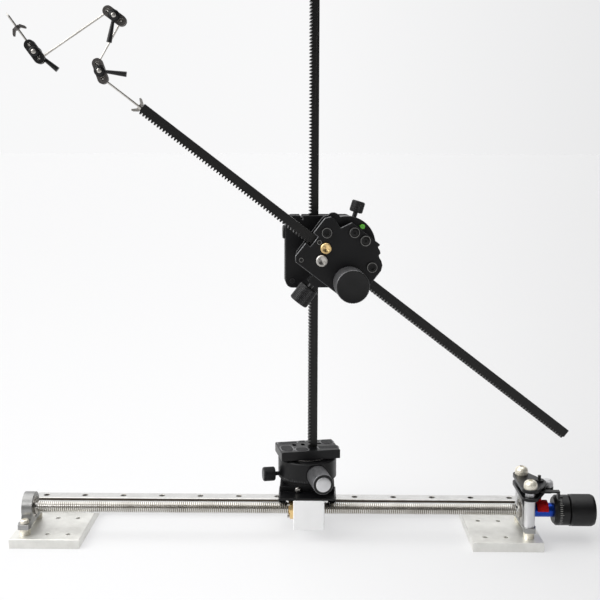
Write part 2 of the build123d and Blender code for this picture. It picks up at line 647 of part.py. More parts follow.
def pinion_outline():
    """Involute teeth on radial roots, with a tooth pointing along +Y."""
    base = PINION_PITCH_RADIUS * cos(radians(20))
    tip = PINION_PITCH_RADIUS + 0.9 * MODULE
    root = PINION_PITCH_RADIUS - 1.25 * MODULE

    def involute(radius):
        pressure = acos(min(1.0, base / radius))
        return tan(pressure) - pressure

    half_at_pitch = (TOOTH_PITCH / 2 - BACKLASH) / (2 * PINION_PITCH_RADIUS)
    flank = []
    for step in range(5):
        radius = base + (tip - base) * step / 4
        flank.append((radius, half_at_pitch + involute(PINION_PITCH_RADIUS) - involute(radius)))
    flank = [(root, flank[0][1])] + flank
    points = []
    for tooth in range(PINION_TEETH):
        middle = pi / 2 - 2 * pi * tooth / PINION_TEETH
        points += [(r * cos(middle + a), r * sin(middle + a)) for r, a in flank]
        points += [(r * cos(middle - a), r * sin(middle - a)) for r, a in reversed(flank)]
    return polygon(points)


def boom_point(s, t, w):
    return BOOM.from_local_coords((s, t, w))


def head_point(s, t, w):
    return HEAD.from_local_coords(Vector(s, t, w))


def mast_point(x, z, w):
    return MAST.from_local_coords((x, z, w))


# ---------------------------------------------------------------- mast head

def mast_head_outline(inset):
    width = HEAD_RIGHT - HEAD_LEFT - 2 * inset
    height = HEAD_TOP_Z - HEAD_BOTTOM_Z - 2 * inset
    centre = Pos((HEAD_LEFT + HEAD_RIGHT) / 2, (HEAD_BOTTOM_Z + HEAD_TOP_Z) / 2)
    return centre * RectangleRounded(width, height, 7.0)


def mast_head_body():
    half = HEAD_BODY / 2
    body = slab(MAST, mast_head_outline(2.0), -half, half)
    channel = MAST_SECTION + 2 * SLIDING_CLEARANCE
    body -= slab(MAST, Pos(0, MAST_PINION_Z) * Rectangle(channel, 200), -channel / 2, channel / 2)
    body -= disc(MAST, MAST_PINION_X, MAST_PINION_Z, -half - 1, PINION_WIDTH / 2 + 0.5, PINION_BORE_RADIUS)
    shaft_radius = PINION_SHAFT_RADIUS + RUNNING_CLEARANCE
    body -= disc(MAST, MAST_PINION_X, MAST_PINION_Z, -half - 1, half + 1, shaft_radius)
    stem = Plane(origin=mast_point(0, MAST_PINCH_Z, 0), x_dir=(0, 0, 1), z_dir=-SIDE)
    body -= disc(stem, 0, 0, 4, 40, STEM_RADIUS + RUNNING_CLEARANCE)
    return body


def mast_head_plates():
    plates = []
    for low in (-HEAD_BODY / 2 - HEAD_PLATE, HEAD_BODY / 2):
        plate = slab(MAST, mast_head_outline(0), low, low + HEAD_PLATE)
        plate -= slab(MAST, Pos(-12, HEAD_TOP_Z) * Rectangle(1.6, 8), low - 1, low + HEAD_PLATE + 1)
        plate -= disc(MAST, MAST_PINION_X, MAST_PINION_Z, low - 1, low + HEAD_PLATE + 1,
                      PINION_SHAFT_RADIUS + RUNNING_CLEARANCE)
        plate = chamfer(plate.edges().group_by(SortBy.LENGTH)[-1], 0.5)
        plates.append(plate)
    return group(plates)


def mast_head_screws():
    face = HEAD_BODY / 2 + HEAD_PLATE
    screws = []
    for x, z in MAST_HEAD_SCREWS:
        screws.append(disc(MAST, x, z, -face - 1.2, -face, 2.4))
    for x, z in MAST_HEAD_SCREWS[:3]:
        screws.append(disc(MAST, x, z, face, face + 1.2, 2.4))
    return group(screws)


def mast_pinion():
    half = PINION_WIDTH / 2
    place = Pos(MAST_PINION_X, MAST_PINION_Z)
    gear = slab(MAST, place * Rot(0, 0, -90) * pinion_outline(), -half, half)
    return gear + disc(MAST, MAST_PINION_X, MAST_PINION_Z, -HEAD_BODY / 2 - HEAD_PLATE - 6, HEAD_BODY / 2 + 3,
                       PINION_SHAFT_RADIUS)


def mast_knob():
    start = -HEAD_BODY / 2 - HEAD_PLATE - 0.8
    knob = disc(MAST, MAST_PINION_X, MAST_PINION_Z, start - HEAD_KNOB_LENGTH, start, HEAD_KNOB_RADIUS)
    knob = chamfer(knob.edges(), 0.8)
    return knob - disc(MAST, MAST_PINION_X, MAST_PINION_Z, start - 5.2, start + 1, PINION_SHAFT_RADIUS)


def mast_pinch_knob():
    plane = Plane(origin=mast_point(0, MAST_PINCH_Z, 0), x_dir=(0, 0, 1), z_dir=-SIDE)
    knob = disc(plane, 0, 0, -HEAD_LEFT - 1.2, -HEAD_LEFT + 2.4, 6.6)
    knob = chamfer(knob.edges(), 0.6)
    return knob + disc(plane, 0, 0, 5.6, -HEAD_LEFT - 1.2, STEM_RADIUS)


def swivel_base():
    face = HEAD_BODY / 2 + HEAD_PLATE
    base = disc(HEAD, SWIVEL_S, SWIVEL_T, face, SWIVEL_SPLIT, SWIVEL_BASE_RADIUS)
    base = chamfer(base.edges().group_by(SortBy.LENGTH)[-1], 0.6)
    spindle_end = boom_rear_face() - 1.2
    return base + disc(HEAD, SWIVEL_S, SWIVEL_T, SWIVEL_SPLIT, spindle_end, SWIVEL_SPINDLE_RADIUS)


# ---------------------------------------------------------------- boom head

def boom_rear_face():
    return BOOM_DEPTH - HEAD_BODY / 2 - HEAD_PLATE


def swivel_housing():
    low = SWIVEL_SPLIT + 0.35
    housing = disc(HEAD, SWIVEL_S, SWIVEL_T, low, boom_rear_face(), SWIVEL_RADIUS - 0.4)
    housing -= disc(HEAD, SWIVEL_S, SWIVEL_T, low - 1, boom_rear_face() - 0.8,
                    SWIVEL_SPINDLE_RADIUS + RUNNING_CLEARANCE)
    return housing - disc(swivel_lock_plane(), 0, 0, SWIVEL_SPINDLE_RADIUS, SWIVEL_RADIUS + 2,
                          STEM_RADIUS + RUNNING_CLEARANCE)


def swivel_lock_plane():
    """Own z points outwards from the swivel's axis along the lock screw."""
    turn = radians(SWIVEL_LOCK_ANGLE)
    middle = (SWIVEL_SPLIT + boom_rear_face()) / 2
    out = BOOM.y_dir * cos(turn) - BOOM.x_dir * sin(turn)
    return Plane(origin=head_point(SWIVEL_S, SWIVEL_T, middle), x_dir=FRONT, z_dir=out)


def rear_plate_outline():
    outline = Pos(25, -0.5) * RectangleRounded(66, 49, 6)
    outline += Pos(SWIVEL_S, SWIVEL_T) * Circle(SWIVEL_RADIUS)
    outline += Pos(1.2, 23.4) * Circle(6.4)
    return outline + Pos(54.5, 10) * Circle(8.5)


def front_plate_outline():
    points = [(-8.2, -24), (-4.6, -28.3), (57, -28.3), (62.6, -22), (62.7, 13), (60.6, 17.6), (57, 20.4),
              (52, 21.7), (52.4, 25.2), (50, 27), (46.8, 28), (47.4, 31.3), (14, 31.5), (8.7, 21), (1.4, 24),
              (-4.4, 24), (-8, 19.4)]
    return fillet(polygon(points).vertices(), 1.0)


def shaft_hole(low, high):
    """The boom pinion shaft's hole, through one plate or through the body."""
    return disc(BOOM, BOOM_PINION_S, BOOM_PINION_T, low, high, PINION_SHAFT_RADIUS + RUNNING_CLEARANCE)


def boom_head_rear_plate():
    low = boom_rear_face()
    plate = slab(HEAD, rear_plate_outline(), low, low + HEAD_PLATE)
    return plate - shaft_hole(low - 1, low + HEAD_PLATE + 1)


def boom_head_front_plate():
    """The front plate, with bevelled edges and a notch over the boom."""
    low = BOOM_DEPTH + HEAD_BODY / 2
    notch = Pos(-13, 0) * Rectangle(8.0, BOOM_SECTION + 1.2, align=(Align.MIN, Align.CENTER))
    plate = slab(HEAD, front_plate_outline(), low, low + HEAD_PLATE)
    plate -= slab(BOOM, notch, low - 1, low + HEAD_PLATE + 1)
    return plate - shaft_hole(low - 1, low + HEAD_PLATE + 1)


def boom_head_body():
    low = BOOM_DEPTH - HEAD_BODY / 2
    high = BOOM_DEPTH + HEAD_BODY / 2
    outline = Pos(26.5, -1) * RectangleRounded(62, 46, 5)
    outline += Pos(BOOM_LOCK_S, -24) * RectangleRounded(11, 24, 1.0)
    body = slab(HEAD, outline, low, high)
    half = BOOM_SECTION / 2 + SLIDING_CLEARANCE
    body -= slab(BOOM, Pos(26, 0) * Rectangle(120, 2 * half), BOOM_DEPTH - half, BOOM_DEPTH + half)
    body -= slab(BOOM, Pos(-13, 0) * Rectangle(9.5, 2 * half, align=(Align.MIN, Align.CENTER)), low, high)
    pinion_back = BOOM_DEPTH - PINION_WIDTH / 2 - 0.5
    body -= disc(BOOM, BOOM_PINION_S, BOOM_PINION_T, pinion_back, high, PINION_BORE_RADIUS)
    body -= shaft_hole(low, high)
    return body - disc(boom_lock_plane(), 0, 0, 4, 50, STEM_RADIUS + 0.5 + RUNNING_CLEARANCE)


def boom_lock_plane():
    """Own z points away from the boom on its toothed side, along the lock screw."""
    return Plane(origin=boom_point(BOOM_LOCK_S + HEAD_SHIFT_S, 0, BOOM_DEPTH), x_dir=FRONT, z_dir=-BOOM.y_dir)


def boom_head_screws():
    face = BOOM_DEPTH + HEAD_BODY / 2 + HEAD_PLATE
    screws = []
    for s, t in SOCKET_SCREWS:
        head = disc(HEAD, s, t, face, face + 3.0, 4.6)
        head = chamfer(head.edges(), 0.5)
        screws.append(head - slab(HEAD, Pos(s, t) * hexagon(4.6), face + 0.8, face + 4))
    for s, t in BUTTON_SCREWS:
        head = disc(HEAD, s, t, face, face + 3.4, 4.6)
        rim = head.faces().sort_by(Axis(HEAD.origin, FRONT))[-1].edges()
        screws.append(fillet(rim, 2.4) - slab(HEAD, Pos(s, t) * hexagon(2.6), face + 1.8, face + 4))
    for s, t in SMALL_SCREWS:
        screws.append(disc(HEAD, s, t, face, face + 1.2, 2.3))
    return group(screws)


def bubble_level():
    face = boom_rear_face() + HEAD_PLATE
    return disc(HEAD, 26.2, 34.6, face, face + 4.5, 2.2)


def bearing_cap(s, t, radius):
    """A turned cap with a shallow cone in its face."""
    face = BOOM_DEPTH + HEAD_BODY / 2 + HEAD_PLATE
    cap = disc(HEAD, s, t, face, face + 4.2, radius)
    cap = chamfer(cap.edges(), 0.6)
    hollow = Plane(origin=head_point(s, t, face + 4.3), x_dir=BOOM.x_dir, z_dir=FRONT)
    top_down = (Align.CENTER, Align.CENTER, Align.MAX)
    return cap - hollow.location * Cone(0.3, radius * 0.72, 1.3, align=top_down)


def boom_pinion():
    half = PINION_WIDTH / 2
    place = Pos(BOOM_PINION_S, BOOM_PINION_T)
    gear = slab(BOOM, place * pinion_outline(), BOOM_DEPTH - half, BOOM_DEPTH + half)
    front = BOOM_DEPTH + HEAD_BODY / 2 + HEAD_PLATE + 6
    return gear + disc(BOOM, BOOM_PINION_S, BOOM_PINION_T, boom_rear_face() + 0.5, front, PINION_SHAFT_RADIUS)


def boom_knob():
    start = BOOM_DEPTH + HEAD_BODY / 2 + HEAD_PLATE + 0.8
    knob = disc(BOOM, BOOM_PINION_S, BOOM_PINION_T, start, start + HEAD_KNOB_LENGTH, HEAD_KNOB_RADIUS)
    knob = chamfer(knob.edges(), 0.8)
    return knob - disc(BOOM, BOOM_PINION_S, BOOM_PINION_T, start - 1, start + 5.2, PINION_SHAFT_RADIUS)


def swivel_lock_screw():
    plane = swivel_lock_plane()
    head = disc(plane, 0, 0, SWIVEL_RADIUS + 4.2, SWIVEL_RADIUS + 15.0, 6.3)
    head = chamfer(head.edges(), 0.8)
    head += disc(plane, 0, 0, SWIVEL_RADIUS + 2.4, SWIVEL_RADIUS + 4.2, 3.2)
    return head + disc(plane, 0, 0, SWIVEL_SPINDLE_RADIUS + 0.6, SWIVEL_RADIUS + 2.4, STEM_RADIUS)


def boom_lock_screw():
    plane = boom_lock_plane()
    head = disc(plane, 0, 0, BOOM_LOCK_START, BOOM_LOCK_END, BOOM_LOCK_RADIUS)
    head = chamfer(head.edges(), 1.0)
    return head + disc(plane, 0, 0, BOOM_SECTION / 2 + 0.6, BOOM_LOCK_START, STEM_RADIUS + 0.5)


# ---------------------------------------------------------------- rigging arm

def step(start, length, angle):
    """The point at a length and an angle (degrees from the mast plane's +X) from a point in that plane."""
    return (start[0] + length * cos(radians(angle)), start[1] + length * sin(radians(angle)))


def in_mast_plane(s, t):
    point = MAST.to_local_coords(boom_point(s, t, 0))
    return (point.X, point.Y)


BOOM_ANGLE = -BOOM_SLOPE
ROD_START = in_mast_plane(BOOM_START_S, 0)
BALL_1 = step(ROD_START, 42.0, BOOM_ANGLE + 180)
BALL_2 = step(BALL_1, 13.8, 108.7)
BALL_3 = step(BALL_2, 42.5, 59.6)
BALL_4 = step(BALL_3, 13.8, 143.8)
BALL_5 = step(BALL_4, 73.0, 214.0)
BALL_6 = step(BALL_5, 13.8, 125.5)
NEEDLE_TIP = step(BALL_6, 33.4, 125.2)
LEVER_A_ANGLE = -7.0
LEVER_B_ANGLE = -102.0
LEVER_C_ANGLE = -38.9


def arm_point(point):
    return mast_point(point[0], point[1], BOOM_DEPTH)


def turned(start, direction, half_profile):
    """A solid of revolution whose profile's own x runs along a direction from a point."""
    plane = Plane(origin=start, x_dir=direction, z_dir=FRONT)
    return revolve(plane * half_profile, Axis(plane.origin, plane.x_dir), 360)


def upper_half(sketch):
    return sketch & Rectangle(400, 20, align=(Align.CENTER, Align.MIN))


def rod_1():
    """Its plain end is held in the boom and its ball is gripped by the first joint."""
    end = step(ROD_START, 10.0, BOOM_ANGLE)
    line = arm_point(BALL_1) - arm_point(end)
    rod = Rectangle(line.length, 2 * ROD_RADIUS, align=(Align.MIN, Align.CENTER))
    return turned(arm_point(end), line, upper_half(rod + Pos(line.length, 0) * Circle(BALL_RADIUS)))


def ball_rod(first, second):
    line = arm_point(second) - arm_point(first)
    rod = Rectangle(line.length, 2 * ROD_RADIUS, align=(Align.MIN, Align.CENTER))
    balls = Circle(BALL_RADIUS) + Pos(line.length, 0) * Circle(BALL_RADIUS)
    return turned(arm_point(first), line, upper_half(rod + balls))


def needle():
    """A pin with a ball at its root that tapers to a point."""
    line = arm_point(NEEDLE_TIP) - arm_point(BALL_6)
    shoulder = line.length - NEEDLE_TAPER
    pin = polygon([(0, 0), (0, ROD_RADIUS), (shoulder, ROD_RADIUS), (line.length, 0.15), (line.length, 0)])
    return turned(arm_point(BALL_6), line, upper_half(pin + Circle(BALL_RADIUS)))


def joint_plates(first, second):
    """Two plates that grip a ball at each end."""
    middle_x = (first[0] + second[0]) / 2
    middle_z = (first[1] + second[1]) / 2
    run_x = second[0] - first[0]
    run_z = second[1] - first[1]
    length = sqrt(run_x ** 2 + run_z ** 2)
    turn = atan(run_z / run_x) * 180 / pi
    outline = Pos(middle_x, middle_z) * SlotCenterToCenter(length, JOINT_WIDTH, rotation=turn)
    for x, z in (first, second):
        outline -= Pos(x, z) * Circle(JOINT_HOLE_RADIUS)
    outline -= Pos(middle_x, middle_z) * Circle(LEVER_STUD_RADIUS + RUNNING_CLEARANCE)
    plates = []
    for low in (BOOM_DEPTH - PLATE_GAP / 2 - JOINT_PLATE, BOOM_DEPTH + PLATE_GAP / 2):
        plates.append(slab(MAST, outline, low, low + JOINT_PLATE))
    return group(plates)


def lever(first, second, angle, side):
    """A cam lever with its stud through both plates; side is +1 for the front and -1 for the back."""
    middle = ((first[0] + second[0]) / 2, (first[1] + second[1]) / 2)
    face = PLATE_GAP / 2 + JOINT_PLATE
    origin = mast_point(middle[0], middle[1], BOOM_DEPTH)
    plane = Plane(origin=origin, x_dir=SIDE, z_dir=FRONT * side)
    piece = disc(plane, 0, 0, face + 0.3, face + 4.3, 4.9)
    piece += disc(plane, 0, 0, -face - 1.6, face + 0.3, LEVER_STUD_RADIUS)
    piece += disc(plane, 0, 0, -face - 1.6, -face - 0.3, 2.6)
    reach = step(middle, LEVER_LENGTH, angle)
    tip = mast_point(reach[0], reach[1], BOOM_DEPTH + side * (face + 2.3))
    hub = mast_point(middle[0], middle[1], BOOM_DEPTH + side * (face + 2.3))
    handle_plane = Plane(origin=hub, z_dir=tip - hub)
    return piece + handle_plane.location * Cone(1.2, 2.4, LEVER_LENGTH, align=BOTTOM_UP)


def wing_nut(start, direction_angle):
    """A two-winged nut on a rod; its collar starts at a point and runs along the angle."""
    axis = arm_point(step(start, 1.0, direction_angle)) - arm_point(start)
    collar = Plane(origin=arm_point(start), x_dir=FRONT, z_dir=axis)
    nut = collar.location * Cylinder(2.4, 3.2, align=BOTTOM_UP)
    wings = Plane(origin=collar.origin, x_dir=collar.y_dir, z_dir=collar.y_dir.cross(collar.z_dir))
    for side in (1, -1):
        wing = [(side * 1.2, 0.2), (side * 2.2, 2.8), (side * 5.8, 6.6), (side * 7.0, 5.8), (side * 6.6, 4.0),
                (side * 3.8, 0.2)]
        nut += slab(wings, polygon(wing), -0.9, 0.9)
    hole = Cylinder(ROD_RADIUS + RUNNING_CLEARANCE, 12, align=BOTTOM_UP)
    return nut - collar.location * Pos(0, 0, -1) * hole


def make_nodes():
    """Every node's name and the function that makes its shape."""
    return {
        "base_plates": lambda: group([base_plate(-1), base_plate(1)]),
        "guide_rail": guide_rail,
        "rail_screws": rail_screws,
        "pillow_spacers": pillow_spacers,
        "pillow_blocks": lambda: group([pillow_block(-1), pillow_block(1)]),
        "screw_bearings": screw_bearings,
        "pillow_bolts": lambda: group(short_bolts() + tall_bolts()),
        "standoffs": standoffs,
        "bridge_plates": bridge_plates,
        "brake_spindle": brake_spindle,
        "brake_shoe": brake_shoe,
        "index_arm": index_arm,
        "lead_screw": lead_screw,
        "shaft_coupling": shaft_coupling,
        "dial_collar": dial_collar,
        "drive_knob": drive_knob,
        "rail_block": rail_block,
        "block_end_caps": block_end_caps,
        "carriage_bridge": carriage_bridge,
        "nut_housing": nut_housing,
        "lead_nut": lead_nut,
        "carriage_screws": carriage_screws,
        "pan_base": pan_base,
        "pan_drum": pan_drum,
        "pan_lock_knob": pan_lock_knob,
        "clamp_knob": clamp_knob,
        "quick_plate": quick_plate,
        "mast_rack": mast_rack,
        "mast_head_body": mast_head_body,
        "mast_head_plates": mast_head_plates,
        "mast_head_screws": mast_head_screws,
        "mast_pinion": mast_pinion,
        "mast_knob": mast_knob,
        "mast_pinch_knob": mast_pinch_knob,
        "swivel_base": swivel_base,
        "swivel_housing": swivel_housing,
        "boom_head_rear_plate": boom_head_rear_plate,
        "boom_head_body": boom_head_body,
        "boom_head_front_plate": boom_head_front_plate,
        "boom_head_screws": boom_head_screws,
        "bubble_level": bubble_level,
        "brass_bearing_cap": lambda: bearing_cap(9.5, -1.5, 5.0),
        "steel_bearing_cap": lambda: bearing_cap(13.4, -12.7, 5.3),
        "boom_pinion": boom_pinion,
        "boom_knob": boom_knob,
        "swivel_lock_screw": swivel_lock_screw,
        "boom_lock_screw": boom_lock_screw,
        "boom_rack": boom_rack,
        "rod_1": rod_1,
        "rack_wing_nut": lambda: wing_nut(step(ROD_START, 0.4, BOOM_ANGLE + 180), BOOM_ANGLE + 180),
        "joint_plates_a": lambda: joint_plates(BALL_1, BALL_2),
        "joint_lever_a": lambda: lever(BALL_1, BALL_2, LEVER_A_ANGLE, 1),
        "rod_2": lambda: ball_rod(BALL_2, BALL_3),
        "joint_plates_b": lambda: joint_plates(BALL_3, BALL_4),
        "joint_lever_b": lambda: lever(BALL_3, BALL_4, LEVER_B_ANGLE, 1),
        "rod_3": lambda: ball_rod(BALL_4, BALL_5),
        "joint_plates_c": lambda: joint_plates(BALL_5, BALL_6),
        "joint_lever_c": lambda: lever(BALL_5, BALL_6, LEVER_C_ANGLE, -1),
        "needle": needle,
        "needle_wing_nut": lambda: wing_nut(step(BALL_6, 19.6, 125.2), 125.2 + 180),
    }


if __name__ == "__main__":
    os.makedirs("parts", exist_ok=True)
    for node, make in make_nodes().items():
        save(node, make())
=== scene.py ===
"""Looks for the camera slider: finishes, detailed pieces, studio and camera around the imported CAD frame.

Everything is in metres, in the CAD's own frame. Lengths given in millimetres are multiplied by MM.
"""

import json
import math

import bmesh
import bpy
from mathutils import Matrix, Vector


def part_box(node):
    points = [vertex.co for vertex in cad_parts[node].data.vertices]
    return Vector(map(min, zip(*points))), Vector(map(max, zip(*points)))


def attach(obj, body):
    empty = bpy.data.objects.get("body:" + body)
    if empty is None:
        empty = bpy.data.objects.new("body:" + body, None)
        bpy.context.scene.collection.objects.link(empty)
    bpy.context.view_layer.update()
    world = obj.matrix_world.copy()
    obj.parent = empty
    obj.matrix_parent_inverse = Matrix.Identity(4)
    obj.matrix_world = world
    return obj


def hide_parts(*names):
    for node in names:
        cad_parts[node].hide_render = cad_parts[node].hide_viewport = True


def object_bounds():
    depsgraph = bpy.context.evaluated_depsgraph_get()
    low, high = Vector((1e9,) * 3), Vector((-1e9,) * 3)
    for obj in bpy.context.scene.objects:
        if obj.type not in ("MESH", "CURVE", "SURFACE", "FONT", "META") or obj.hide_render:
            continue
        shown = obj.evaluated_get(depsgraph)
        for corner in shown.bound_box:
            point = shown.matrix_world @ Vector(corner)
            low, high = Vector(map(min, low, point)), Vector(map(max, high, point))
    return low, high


MM = 0.001
UP = Vector((0, 0, 1))

# Meshes.
SHARP_ANGLE = math.radians(32)  # edges beyond this are shaded sharp
BEVEL_ANGLE = math.radians(60)  # edges beyond this are cut back by a bevel
FLAT_ANGLE = math.radians(1)  # faces within this are joined before a bevel
WELD_DISTANCE = 1e-6
ROUND_POINTS = 64
RIB_POINTS = 4  # points round each rib of a grip

# Grain drawn out along the rail.
LONG_X = (0.02, 1, 1)

# Small details, in millimetres.
CAP_RADIUS = 7.2  # the satin cap in the pan lock's face
BOLT_RADIUS = 2.6  # the bolt in the bridge's front
# a painted highlight ring along the drum's top rim:
DRUM_RIM_HIGHLIGHT_RADIUS = 21.15
HUB_RADIUS = 4.3  # the dark collar on a lever's hub
PIN_RADIUS = 2.1  # the pale centre of a lever's hub
STOP_HEIGHT = 6.3  # the pale cap over the stop
GROOVE_WIDTH = 2.6  # the rail's upper groove
GROOVE_DROP = 2.0  # from the rail's top to the groove's middle

# Each pad on the clamp's plate, in millimetres: its middle, its size and its corner radius.
PADS = (
    (-17.6, 13.3, 18.8, 6.4, 2.0),
    (-2.4, 15.3, 6.5, 3.8, 1.5),
    (22.1, 9.4, 11.8, 14.0, 5.0),
    (-21.8, -5.4, 11.2, 17.5, 5.0),
    (-7.8, -11, 11.8, 10.6, 4.0),
    (19.2, -8.4, 19.4, 7.6, 2.0),
)

# The lead screw's thread, in millimetres. Its section: points along the pitch, and their share of the radius.
THREAD_PITCH = 2
THREAD_SECTION = ((0.0, 0.84), (0.62, 0.84), (0.98, 1.0), (1.62, 1.0))
CORE_RADIUS = 4
CORE_CHAMFER = 0.4

# Ticks round the dial and the drum.
DIAL_TICKS = 50
DRUM_TICKS = 72

# The studio. The paper glows brighter on its left than on its right, and scatters a little light too.
FLOOR_RADIUS = 40.0
PAPER_LEFT = (0.61, 0.61, 0.615)
PAPER_RIGHT = (0.47, 0.47, 0.475)
PAPER_SCATTER = 0.28
PAPER_CENTRE_Y = -0.93  # the glow fans out from under the camera
WALL_LIFT = 0.33  # what the wall behind has on top of the paper's glow
# Each softbox: its direction, the cosines at which it is full and at which it ends, and its strength.
OVERHEAD_BOX = ((-0.1, 0.15, 1), 0.93, 0.74, 2.2)
LEFT_BOX = ((-1, -0.2, 0.7), 0.95, 0.84, 3.6)
FILL_PLACE = (-1.1, -1.3, 1.2)
FILL_SIZE = (1.2, 0.8)
FILL_POWER = 12

# The camera, with its angles in degrees.
LENS = 60.056
SENSOR_WIDTH = 36.0
CAMERA_PLACE = (0.03267, -0.93466, 0.38031)
CAMERA_PITCH = 8.857
CAMERA_YAW = 0.654
CAMERA_ROLL = 0.155

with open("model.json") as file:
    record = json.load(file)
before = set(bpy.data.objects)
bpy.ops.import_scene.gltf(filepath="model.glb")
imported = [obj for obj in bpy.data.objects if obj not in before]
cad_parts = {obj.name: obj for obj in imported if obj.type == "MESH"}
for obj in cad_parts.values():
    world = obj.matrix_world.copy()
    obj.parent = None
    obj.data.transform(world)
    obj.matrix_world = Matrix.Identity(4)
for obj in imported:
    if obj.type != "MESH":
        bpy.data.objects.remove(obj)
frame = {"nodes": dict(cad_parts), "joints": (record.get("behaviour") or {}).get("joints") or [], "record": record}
cad_low, cad_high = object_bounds()
joints = {j["name"]: j for j in frame["joints"]}
slot_of = {part["node"]: part["material_slot"] for part in frame["record"]["subparts"]}


# ---------------------------------------------------------------- materials

def shader_tree(name):
    """A new material with one shader wired to its output."""
    made = bpy.data.materials.new(name)
    made.use_nodes = True
    nodes = made.node_tree.nodes
    nodes.clear()
    output = nodes.new("ShaderNodeOutputMaterial")
    shader = nodes.new("ShaderNodeBsdfPrincipled")
    made.node_tree.links.new(shader.outputs["BSDF"], output.inputs["Surface"])
    return made, made.node_tree, shader


def noise(tree, scale, detail=3.0, rough=0.55, stretch=(1, 1, 1)):
    """A noise texture in object coordinates, whose scale is in features per metre."""
    coordinates = tree.nodes.new("ShaderNodeTexCoord")
    mapping = tree.nodes.new("ShaderNodeMapping")
    mapping.inputs["Scale"].default_value = stretch
    texture = tree.nodes.new("ShaderNodeTexNoise")
    texture.inputs["Scale"].default_value = scale
    texture.inputs["Detail"].default_value = detail
    texture.inputs["Roughness"].default_value = rough
    tree.links.new(coordinates.outputs["Object"], mapping.inputs["Vector"])
    tree.links.new(mapping.outputs["Vector"], texture.inputs["Vector"])
    return texture.outputs["Fac"]


def math_node(tree, operation, *values, kind="ShaderNodeMath", output="Value"):
    """One step of arithmetic on numbers, vectors or other nodes' sockets."""
    made = tree.nodes.new(kind)
    made.operation = operation
    for socket, value in zip(made.inputs, values):
        if isinstance(value, bpy.types.NodeSocket):
            tree.links.new(value, socket)
        else:
            socket.default_value = value
    return made.outputs[output]


def dot_product(tree, first, second):
    return math_node(tree, "DOT_PRODUCT", first, second, kind="ShaderNodeVectorMath")


def ramp(tree, value, low, high, low_at=0.35, high_at=0.65):
    """Maps a value from low_at..high_at to low..high, and holds it there beyond."""
    made = tree.nodes.new("ShaderNodeMapRange")
    made.inputs["From Min"].default_value = low_at
    made.inputs["From Max"].default_value = high_at
    made.inputs["To Min"].default_value = low
    made.inputs["To Max"].default_value = high
    tree.links.new(value, made.inputs["Value"])
    return made.outputs["Result"]


def blend_colour(tree, amount, first, second):
    """A mix of two colours, each a tuple or another node's socket."""
    mix = tree.nodes.new("ShaderNodeMix")
    mix.data_type = "RGBA"
    tree.links.new(amount, mix.inputs["Factor"])
    for socket, colour in ((mix.inputs["A"], first), (mix.inputs["B"], second)):
        if isinstance(colour, tuple):
            socket.default_value = (*colour, 1)
        else:
            tree.links.new(colour, socket)
    return mix.outputs["Result"]


def edge_mask(tree, radius):
    """1 along outer edges and 0 on flat faces, and the rounded normal that goes with it."""
    bevel = tree.nodes.new("ShaderNodeBevel")
    bevel.samples = 4
    bevel.inputs["Radius"].default_value = radius
    rounded = bevel.outputs["Normal"]
    flat = tree.nodes.new("ShaderNodeNewGeometry").outputs["Normal"]
    return ramp(tree, dot_product(tree, rounded, flat), 1.0, 0.0, 0.86, 0.99), rounded


def surface(name, colour, second, metallic, roughness, spread, grain, depth, stretch=(1, 1, 1),
            edge=None, edge_radius=0.3, specular=0.5, patch=60):
    """A finish: patches of two colours, a grain that varies roughness and height, and paler edges.

    The grain and the patches are in features per metre; the depth and the edge radius are in millimetres.
    """
    made, tree, shader = shader_tree(name)
    patches = ramp(tree, noise(tree, patch, 4.0), 0.0, 1.0)
    tint = blend_colour(tree, patches, colour, second)
    fine = noise(tree, grain, 2.0, 0.6, stretch)
    rough = ramp(tree, fine, roughness - spread, roughness + spread)
    bump = tree.nodes.new("ShaderNodeBump")
    bump.inputs["Strength"].default_value = 1.0
    bump.inputs["Distance"].default_value = depth * MM
    tree.links.new(fine, bump.inputs["Height"])
    if edge is not None:
        mask, rounded = edge_mask(tree, edge_radius * MM)
        tint = blend_colour(tree, mask, tint, edge)
        tree.links.new(rounded, bump.inputs["Normal"])
    tree.links.new(tint, shader.inputs["Base Color"])
    tree.links.new(rough, shader.inputs["Roughness"])
    tree.links.new(bump.outputs["Normal"], shader.inputs["Normal"])
    shader.inputs["Metallic"].default_value = metallic
    shader.inputs["Specular IOR Level"].default_value = specular
    return made


